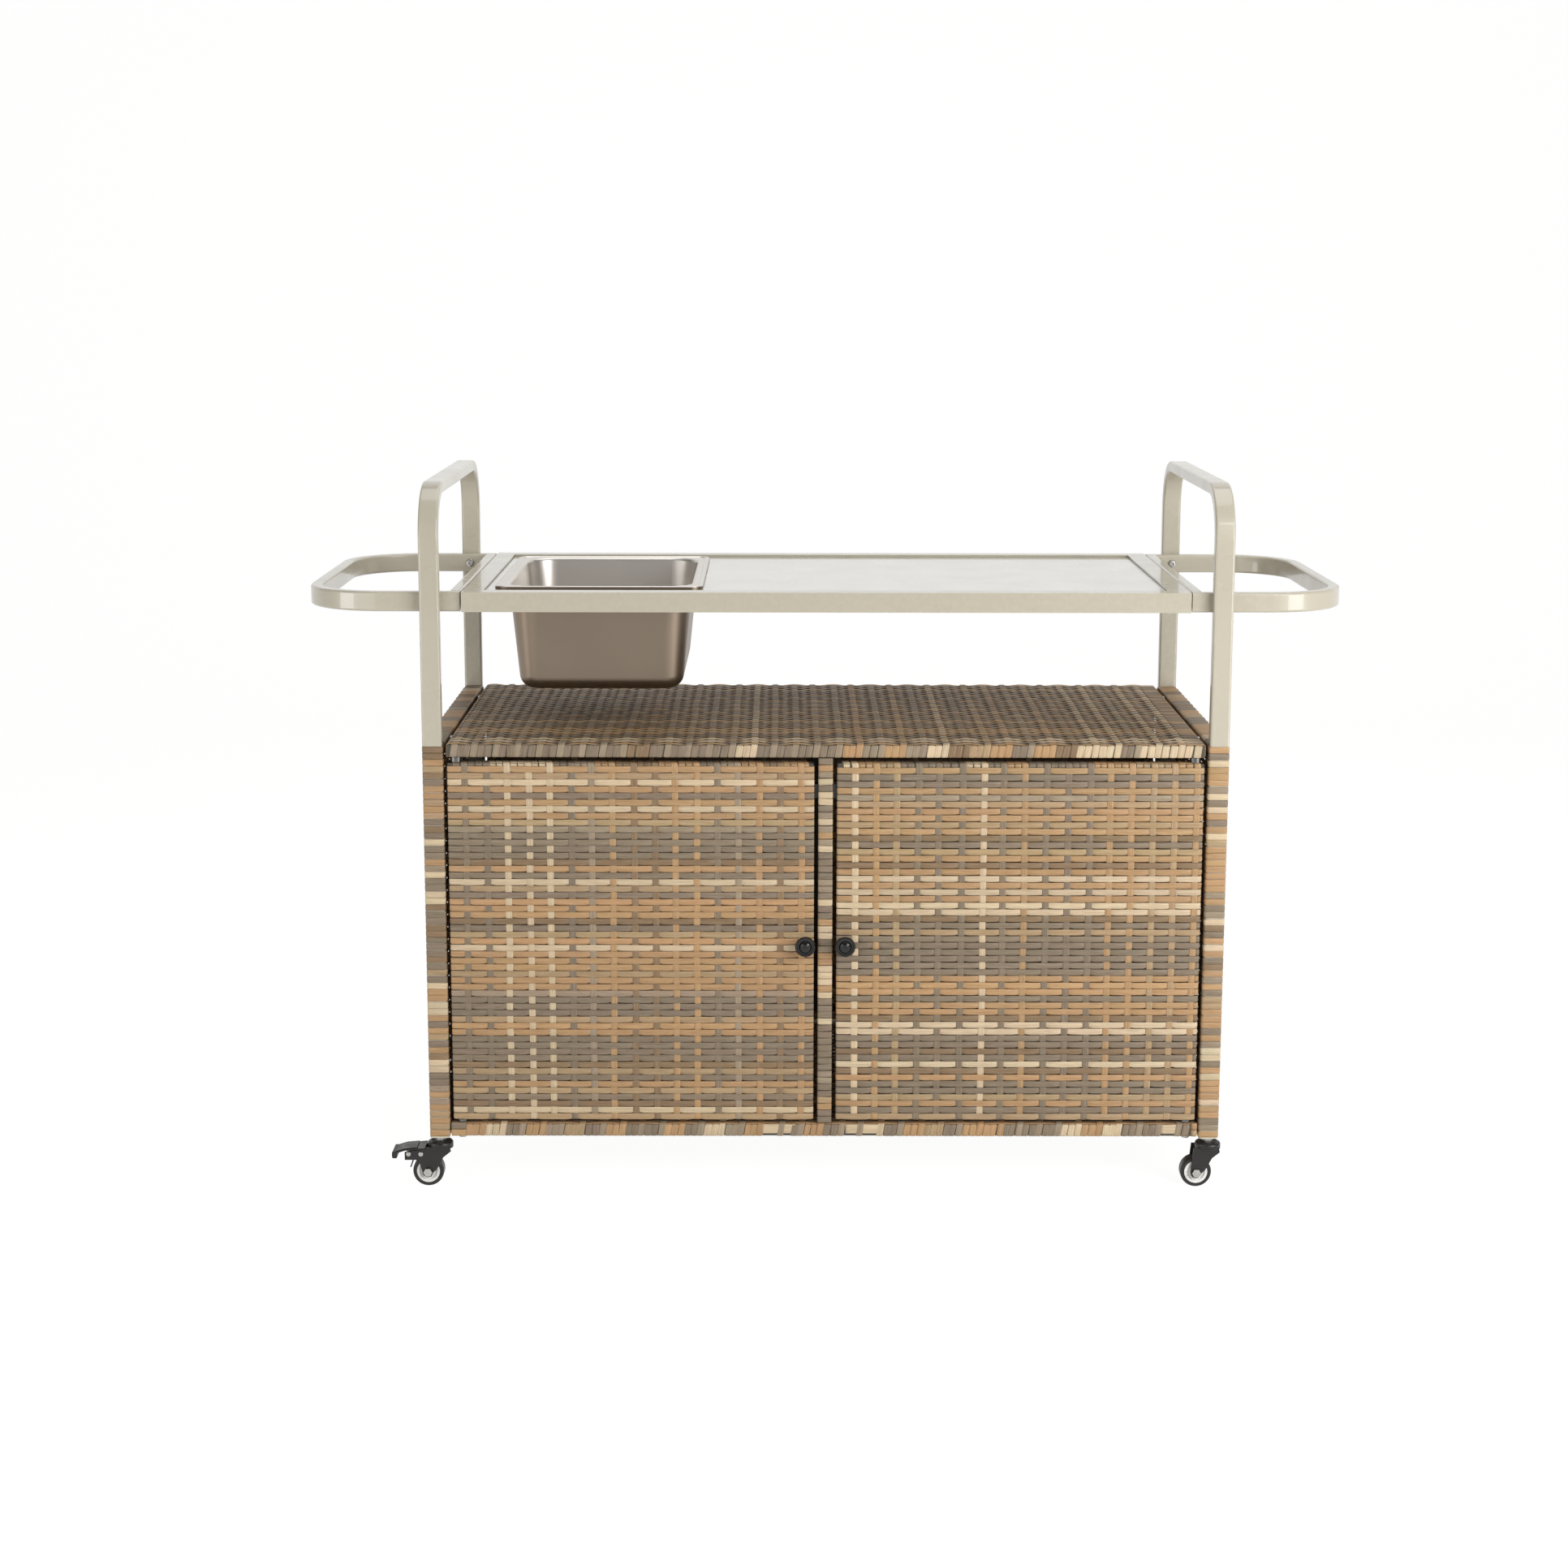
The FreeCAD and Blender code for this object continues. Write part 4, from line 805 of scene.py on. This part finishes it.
    def band_corners(self, reaches, order):
        """Two short flat bands round each upright corner of the edge, of a length for each end."""
        s = self.strands.settings
        room = (self.depth - 2 * CORNER_FREE) / 2
        turn = arc((self.inset + s.corner, self.inset + s.corner), s.corner, 180, 270, 5)
        away = np.radians(np.concatenate([[180, 180], np.linspace(180, 270, 5), [270, 270]]))
        pick = 0
        for right, reach in zip((False, True), reaches):
            ends = ((self.inset + 0.0009, reach), (self.inset, reach - 0.004))
            plan = np.array([*ends, *turn, *((b, a) for a, b in ends[::-1])])
            for top in (False, True):
                for level in (0.5, 1.5):
                    u = self.wide - plan[:, 0] if right else plan[:, 0]
                    v = self.high - plan[:, 1] if top else plan[:, 1]
                    out_u = np.cos(away) * (-1 if right else 1)
                    out_v = np.sin(away) * (-1 if top else 1)
                    out = out_u[:, None] * self.across + out_v[:, None] * self.up
                    line = self.place(u, v, -CORNER_FREE - level * room)
                    self.strands.add(line, out, room * 0.98, self.strands.tone(order[pick % len(order)]))
                    pick += 1


def ring_line(half_a, half_b, radius, steps=4):
    """A closed rounded rectangle as (a, b) pairs with their outward directions."""
    points, outs = [], []
    for ca, cb, start in ((1, 1, 0), (-1, 1, 90), (-1, -1, 180), (1, -1, 270)):
        centre = (ca * (half_a - radius), cb * (half_b - radius))
        points.append(arc(centre, radius, start, start + 90, steps))
        outs.append(arc((0, 0), 1, start, start + 90, steps))
    return np.concatenate(points), np.concatenate(outs)


def wrap_post(strands, low, high, order, pitch):
    """Closed strand loops round an upright post whose box is low to high."""
    s = strands.settings
    count = int(round((high.z - low.z) / pitch))
    pitch = (high.z - low.z) / count
    half = (Vector(high) - Vector(low)) / 2
    middle = (Vector(high) + Vector(low)) / 2
    points, outs = ring_line(half.x - s.thickness / 2, half.y - s.thickness / 2, s.corner)
    out = np.column_stack([outs, np.zeros(len(outs))])
    for at in range(count):
        tilt = strands.rng.normal(0, 0.02, 2)
        rise = low.z + (at + 0.5) * pitch + points @ tilt
        line = np.column_stack([points[:, 0] + middle.x, points[:, 1] + middle.y, rise])
        wide = pitch * 0.965 * (1 + strands.rng.normal(0, 0.012))
        strands.add(line, out, wide, strands.tone(order[at % len(order)]), closed=True)


# Operators

# Strand orders are letters of TONES, from the left and from the top; LYING_ROWS from the front or bottom
DOORS = {
    "left": {
        "rows": "TUCTGTCTULGGGGBTGCUGTTTBGUTCTTTUTTLGGGUTTGGGGBUGTUGBCU", "warps": "GGCCCGLTBBTTGLTBT",
        "span": (0.0007, 0.4654), "first": 0.0235, "pitch": 0.0266,
    },
    "right": {
        "rows": "TGGTLUTTUTBGUTBTCTCTCCBGUGGGGGGTTTGTTBCCGGBGCBTGGUTGU", "warps": "CTUGGGCGTGGGTTUUT",
        "span": (0.0006, 0.464), "first": 0.0228, "pitch": 0.02705,
    },
}
DOOR_MARGIN = 0.006  # ends of a door's edges without turns
# How each panel is woven: its uprights, the margins of its edge turns, its swing and its row width
PANELS = {
    "cabinet_top": {
        "seed": 30, "lying": True, "warps": "GGGGGGGGGBGGGGCGGGGTLTLCBUTGTBCCGCC",
        "first": 0.0108, "pitch": 0.02703, "ends": (0.0035, 0.0035), "crimp": (1.0, 3.6), "close": -2.5,
    },
    "cabinet_floor": {
        "seed": 31, "lying": True, "warps": "TCGTLUGTGGTGCLTGGTGGCGTUGTTGGGCTCGGG",
        "first": 0.0423, "pitch": 0.0257, "ends": (0.0205, 0.008), "crimp": (0.4, 3.5), "close": 3.0,
    },
    "back_panel": {
        "seed": 32, "lying": False, "warps": "GTUGGTCGTGGLTTGUGCTGGTTGBGTUGCTGGTG",
        "first": None, "pitch": None, "ends": (0.0035, 0.0035), "crimp": (1.0, 1.0), "close": 3.0,
    },
}
FLOOR_REACH = 0.0024  # the woven floor is this much nearer to the legs than its plain skin
BACK_REACH = 0.0022  # the woven back is this much higher than its plain skin
FLOOR_CORNERS = "GTGTTUGT"
LEG_ROOM = 0.0176  # width of a leg under the side weave
RAIL_CLEAR = 0.004  # the side rows end this far under the cabinet top
STILE_PITCH = 0.0087  # height of one wrap round the middle stile
STAND_TAIL = 0.013  # how deep strand ends run on the back of a standing panel
LYING_TAIL = 0.016
# This order leans to the brown tone: partly the rows' own colours, and partly painted shade for the cabinet
# top's rows, which lie low between the raised uprights under the table. The floor and the back take the same
# order.
LYING_ROWS = "TGCTCGBBGTTUTTBBGBBUTBGBBTBGUBBTGBBUBGBTBBUGBTBBGBUTBBG"
FLOOR_BARE = ((0.404, 0.423), (0.43, 0.441), (0.514, 0.527), (0.533, 0.552), (0.922, 0.936))
LEG_ROWS = {
    "left": "BBTUBGTTUTUGBGCGGTLCGGCCBGGBBGGGBGUGCTTCCTGTUGTBCCGGLTLTUTU",
    "right": "TGCTTTLCGCTGTCUTTTTTTTLTGLCBGTCTGBTLTGUUTTTGTLCCGTCTTTCTTGL",
}
CASTERS = ("front_left", "back_left", "front_right", "back_right")
STILE_ROWS = "TLCGCCGLCLTLCGGGGLLGCGGTCCGLTTCCCTCGGGCGGGGGGGLLGGUTGG"


class CART_OT_doors(bpy.types.Operator):
    """Weaves both doors"""

    bl_idname = "cart.weave_doors"
    bl_label = "Weave doors"

    def execute(self, context):
        axes = ((1, 0, 0), (0, 0, 1), (0, -1, 0))
        for at, (side, plan) in enumerate(DOORS.items()):
            low, high = (Vector(v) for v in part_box(side + "_door_weave"))
            size = (high - low).xzy
            strands = Strands(context.scene.cart_wicker, 20 + at)
            panel = WovenPanel(
                strands, low, axes, size, STAND_TAIL, plan["span"],
                rows=len(plan["rows"]), first=plan["first"], pitch=plan["pitch"],
            )
            panel.close_rows(-0.5)
            panel.weave_rows(letters(strands.rng, plan["rows"], panel.rows)[::-1])
            order = letters(strands.rng, plan["warps"], panel.columns)
            panel.weave_warps(order)
            panel.wrap_edges(order, (DOOR_MARGIN, DOOR_MARGIN))
            strands.build(side + "_door_wicker", side + "_door", side + "_door_weave")
        return {"FINISHED"}


class CART_OT_panels(bpy.types.Operator):
    """Weaves the cabinet top, the floor and the back"""

    bl_idname = "cart.weave_panels"
    bl_label = "Weave top, floor and back"

    def execute(self, context):
        for name, plan in PANELS.items():
            self.weave(context.scene.cart_wicker, name, plan)
        return {"FINISHED"}

    def weave(self, wicker, name, plan):
        """One panel, with its crosswise and its upright strands as two pieces."""
        low, high = (Vector(v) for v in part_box(name + "_weave"))
        floor = name == "cabinet_floor"
        if floor:
            low.x -= FLOOR_REACH
            high.x += FLOOR_REACH
        lying = plan["lying"]
        if lying:
            axes = ((1, 0, 0), (0, 1, 0), (0, 0, 1))
            corner = (low.x, low.y, high.z)
            size = high - low
        else:
            high.z += BACK_REACH
            axes = ((-1, 0, 0), (0, 0, 1), (0, 1, 0))
            corner = (high.x, high.y, low.z)
            size = (high - low).xzy
        rows = Strands(wicker, plan["seed"])
        tail = LYING_TAIL if lying else STAND_TAIL
        panel = WovenPanel(rows, corner, axes, size, tail, first=plan["first"], pitch=plan["pitch"])
        panel.set_crimp(*plan["crimp"])
        panel.close_rows(plan["close"])
        panel.weave_rows(letters(rows.rng, LYING_ROWS, panel.rows), SPARSE, dive=None if lying else DIVE)
        rows.build(name + "_rows", "cart", name + "_weave")
        warps = Strands(wicker, plan["seed"] + 4)
        panel.strands = warps
        order = letters(warps.rng, plan["warps"], panel.columns)
        # On the lying faces the grey uprights take the light grey tone, a painted highlight on their raised
        # beads; their edge turns keep the grey.
        face = [{"G": "L"}.get(letter, letter) for letter in order] if lying else order
        panel.weave_warps(face, 4)
        panel.wrap_edges(order, plan["ends"], FLOOR_BARE if floor else ())
        if floor:
            panel.band_corners(plan["ends"], FLOOR_CORNERS)
        warps.build(name + "_warps", "cart")


class CART_OT_sides(bpy.types.Operator):
    """Weaves both sides round their legs and rails, and wraps the middle stile"""

    bl_idname = "cart.weave_sides"
    bl_label = "Weave sides and stile"

    def execute(self, context):
        wicker = context.scene.cart_wicker
        rail_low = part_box("cabinet_floor_weave")[0][2]
        rail_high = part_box("cabinet_top_weave")[1][2]
        for at, side in enumerate(("left", "right")):
            low, high = (Vector(v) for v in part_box(side + "_side_weave"))
            sign = -1 if side == "left" else 1
            outer = low.x if sign < 0 else high.x
            start = low.y if sign > 0 else high.y
            strands = Strands(wicker, 50 + at)
            axes = ((0, sign, 0), (0, 0, 1), (sign, 0, 0))
            wide = high.y - low.y
            size = (wide, rail_high - rail_low, high.x - low.x)
            span = (low.z - rail_low, rail_high - RAIL_CLEAR - rail_low)
            corner = (outer, start, rail_low)
            legs = (LEG_ROOM, wide - LEG_ROOM)
            panel = WovenPanel(strands, corner, axes, size, LEG_ROOM - 0.001, span, legs)
            panel.close_rows(0.5)
            panel.weave_rows(letters(strands.rng, LEG_ROWS[side], panel.rows)[::-1], lean=0.0006)
            order = letters(strands.rng, "", panel.columns)
            panel.weave_warps(order)
            panel.wrap_edges(order, (LEG_ROOM + 0.0005, LEG_ROOM + 0.0005))
            strands.build(side + "_side_wicker", "cart", side + "_side_weave")
        low, high = (Vector(v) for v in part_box("center_stile_wrap"))
        stile = Strands(wicker, 60)
        wrap_post(stile, low, high, STILE_ROWS[::-1], STILE_PITCH)
        stile.build("center_stile_wicker", "cart", "center_stile_wrap")
        return {"FINISHED"}


class CART_OT_paint(bpy.types.Operator):
    """Coats the hoops, handles, worktop and inner tubes"""

    bl_idname = "cart.coat_frame"
    bl_label = "Coat the frame"

    def execute(self, context):
        finish = context.scene.cart_finish
        paint, panel = finish.paint, finish.panel
        coat = powder_material("frame powder coat", paint, shade(paint, 0.86), gloss=0.6)
        paint_nodes(["left_hoop", "right_hoop", "left_handle", "right_handle", "table_frame"], coat)
        sheet = powder_material("worktop powder coat", panel, shade(panel, 0.9), 0.2, 0.000008, 0.5)
        paint_nodes(["table_panel"], sheet)
        inner = powder_material("inner tube paint", finish.inner, shade(finish.inner, 1.3), 0.45)
        paint_nodes(
            [
                "left_side_rails", "right_side_rails", "cabinet_top_frame", "cabinet_floor_frame",
                "back_panel_frame", "center_stile", "left_door_frame", "right_door_frame",
            ],
            inner,
        )
        plugs = moulded_material("leg plug plastic", finish.plug, shade(finish.plug, 0.7))
        paint_nodes(["leg_plugs"], plugs)
        return {"FINISHED"}


class CART_OT_metal(bpy.types.Operator):
    """Finishes the ice pan and the bolts, pins and plates"""

    bl_idname = "cart.finish_metal"
    bl_label = "Finish pan and hardware"

    def execute(self, context):
        finish = context.scene.cart_finish
        low, high = (Vector(corner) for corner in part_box("ice_pan"))
        axis = tuple((low + high) / 2)
        # The pan's darker, browner outside is a painted reflection and its brighter bowl and rim a painted
        # highlight, partly also the steel's own finish.
        pan = brushed_material("brushed pan steel", finish.steel, 0.000001, finish.bowl, axis)
        paint_nodes(["ice_pan"], pan)
        bright = brushed_material("bright hardware", finish.bright)
        paint_nodes(
            [
                "handle_bolts", "table_bolts", "cabinet_bolts", "door_pins", "caster_stems",
                "left_strike_plate", "right_strike_plate",
                "front_left_brake_rivets", "back_left_brake_rivets",
                *(corner + "_axle" for corner in CASTERS),
            ],
            bright,
        )
        # The washers are painted darker than the other hardware, a painted shade for the narrow gaps at the
        # door pivots where they sit.
        paint_nodes(["door_washers"], brushed_material("washers with painted shade", shade(finish.bright, 0.35)))
        return {"FINISHED"}


class CART_OT_small(bpy.types.Operator):
    """Finishes the knobs, the catch and the casters"""

    bl_idname = "cart.finish_small"
    bl_label = "Finish knobs and casters"

    def execute(self, context):
        finish = context.scene.cart_finish
        scuff = tuple(c * 3 + 0.01 for c in finish.black)
        knob = moulded_material("knob plastic", finish.black, scuff, 900.0, 0.2, 0.00002, 0.4)
        paint_nodes(["left_door_knob", "right_door_knob", "door_catch", "back_panel_pads"], knob)
        fork = moulded_material("caster paint", finish.caster, shade(finish.caster, 2.4), 700.0)
        tyre = moulded_material("tyre tread", finish.tyre, shade(finish.tyre, 2), 1200.0)
        core = moulded_material("wheel core plastic", finish.core, shade(finish.core, 0.7))
        paint_nodes(["caster_cups", "front_left_brake_pedal", "back_left_brake_pedal"], fork)
        for corner in CASTERS:
            paint_nodes([corner + "_fork"], fork)
            paint_nodes([corner + "_tyre"], tyre)
            paint_nodes([corner + "_wheel"], core)
        return {"FINISHED"}


GLOW = 1.16  # strength of the floor's white
GLOW_SHARE = 0.82  # how much of it the camera sees, the rest being the lit floor with its shadow
# Name, place, aim, size in metres and power in watts
LAMPS = (
    ("key", (1.85, -2.5, 1.65), (0, 0, 0.5), 1.8, 60),
    ("fill", (-1.9, -2.3, 1.2), (0, 0, 0.5), 1.8, 17),
    ("top", (0.2, 0.4, 3.4), (0, 0, 0.6), 2.6, 42),
    ("right strip", (1.75, -1.35, 0.6), (-0.2, 0, 0.6), 0.7, 10),
    ("left strip", (-2.1, -1.1, 0.6), (-0.2, 0, 0.6), 0.7, 8),
)


class CART_OT_stage(bpy.types.Operator):
    """Sets the camera, the floor and the studio light"""

    bl_idname = "cart.set_stage"
    bl_label = "Set the stage"

    def execute(self, context):
        scene = context.scene
        stage = scene.cart_stage
        scene.view_settings.view_transform = "Standard"
        self.set_camera(scene, stage)
        self.set_floor(scene, stage)
        self.set_light(scene, stage)
        return {"FINISHED"}

    def set_camera(self, scene, stage):
        """Camera at the photograph's place, turned by its yaw, pitch and roll."""
        data = bpy.data.cameras.new("camera")
        data.sensor_width = 36.0
        data.sensor_fit = "HORIZONTAL"
        data.lens = stage.focal
        data.shift_y = stage.shift
        data.clip_start = 0.05
        camera = bpy.data.objects.new("camera", data)
        scene.collection.objects.link(camera)
        stand = Matrix.Translation(stage.eye)
        for turn, axis in ((stage.yaw, "Z"), (math.pi / 2 - stage.pitch, "X"), (-stage.roll, "Z")):
            stand = stand @ Matrix.Rotation(turn, 4, axis)
        camera.matrix_world = stand
        scene.camera = camera

    def set_floor(self, scene, stage):
        """Pale floor that sweeps up to a backdrop, white to the camera but for the cart's shadow."""
        mesh = bpy.data.meshes.new("floor")
        sweep = arc((3.2, 1.5), 1.5, -82, 0, 12)
        lines = [(-6.0, 0.0), (3.2, 0.0), *sweep.tolist(), (4.7, 6.0)]
        points = [(x, y, z) for y, z in lines for x in (-9.0, 9.0)]
        faces = [(at, at + 1, at + 3, at + 2) for at in range(0, len(points) - 2, 2)]
        mesh.from_pydata(points, [], faces)
        mesh.shade_smooth()
        floor = bpy.data.objects.new("floor", mesh)
        scene.collection.objects.link(floor)
        material, tree, shader = blank_material("pale floor")
        grain = noise(tree, object_vector(tree), 3.0, 3.0)
        speckle = ranged(tree, grain, 0.3, 0.7, 0.0, 0.04)
        shown = blend_colour(tree, speckle, stage.floor, shade(stage.floor, 0.9))
        tree.links.new(shown, shader.inputs["Base Color"])
        shader.inputs["Roughness"].default_value = 0.9
        shader.inputs["Specular IOR Level"].default_value = 0.1
        glow = tree.nodes.new("ShaderNodeEmission")
        glow.inputs["Color"].default_value = (1, 1, 1, 1)
        glow.inputs["Strength"].default_value = GLOW
        path = tree.nodes.new("ShaderNodeLightPath")
        seen = calc(tree, "MAXIMUM", path.outputs["Is Camera Ray"], path.outputs["Is Glossy Ray"])
        seen = calc(tree, "MAXIMUM", seen, path.outputs["Is Transmission Ray"])
        share = calc(tree, "MULTIPLY", seen, GLOW_SHARE)
        mix_shaders(tree, share, shader.outputs["BSDF"], glow.outputs["Emission"], "Material Output")
        mesh.materials.append(material)

    def set_light(self, scene, stage):
        """Soft light from all sides, three large lamps and two small ones low at the sides."""
        world = bpy.data.worlds.new("studio")
        world.use_nodes = True
        tree = world.node_tree
        soft = tree.nodes["Background"]
        soft.inputs["Color"].default_value = (1, 1, 1, 1)
        soft.inputs["Strength"].default_value = stage.sky
        white = tree.nodes.new("ShaderNodeBackground")
        path = tree.nodes.new("ShaderNodeLightPath")
        seen = calc(tree, "MAXIMUM", path.outputs["Is Camera Ray"], path.outputs["Is Transmission Ray"])
        mix_shaders(tree, seen, soft.outputs["Background"], white.outputs["Background"], "World Output")
        scene.world = world
        for name, place, aim, size, power in LAMPS:
            data = bpy.data.lights.new(name, "AREA")
            data.shape = "SQUARE"
            data.size = size
            data.energy = power
            lamp = bpy.data.objects.new(name, data)
            scene.collection.objects.link(lamp)
            lamp.location = place
            lamp.rotation_euler = (Vector(aim) - Vector(place)).to_track_quat("-Z", "Y").to_euler()


class CART_PT_sidebar(bpy.types.Panel):
    """Sidebar with the cart's sizes, colours and steps"""

    bl_idname = "CART_PT_sidebar"
    bl_label = "Bar cart"
    bl_space_type = "VIEW_3D"
    bl_region_type = "UI"
    bl_category = "Bar cart"

    def draw(self, context):
        layout = self.layout
        for group in (context.scene.cart_wicker, context.scene.cart_finish, context.scene.cart_stage):
            box = layout.box()
            for key in group.__annotations__:
                box.prop(group, key)
        for operator in STEPS:
            layout.operator(operator.bl_idname)


STEPS = (
    CART_OT_stage,
    CART_OT_paint,
    CART_OT_metal,
    CART_OT_small,
    CART_OT_doors,
    CART_OT_panels,
    CART_OT_sides,
)
SETTINGS = (
    ("cart_wicker", WickerSettings),
    ("cart_finish", FinishSettings),
    ("cart_stage", StageSettings),
)


def register():
    """Makes the settings, steps and sidebar known."""
    for key, group in SETTINGS:
        bpy.utils.register_class(group)
        setattr(bpy.types.Scene, key, bpy.props.PointerProperty(type=group))
    for operator in STEPS:
        bpy.utils.register_class(operator)
    bpy.utils.register_class(CART_PT_sidebar)


def unregister():
    """Takes them away in the reverse order."""
    bpy.utils.unregister_class(CART_PT_sidebar)
    for operator in reversed(STEPS):
        bpy.utils.unregister_class(operator)
    for key, group in reversed(SETTINGS):
        delattr(bpy.types.Scene, key)
        bpy.utils.unregister_class(group)


def main():
    """Builds the whole scene."""
    register()
    bpy.ops.cart.set_stage()
    bpy.ops.cart.coat_frame()
    bpy.ops.cart.finish_metal()
    bpy.ops.cart.finish_small()
    bpy.ops.cart.weave_doors()
    bpy.ops.cart.weave_panels()
    bpy.ops.cart.weave_sides()
    bpy.context.view_layer.update()


if __name__ == "__main__":
    main()
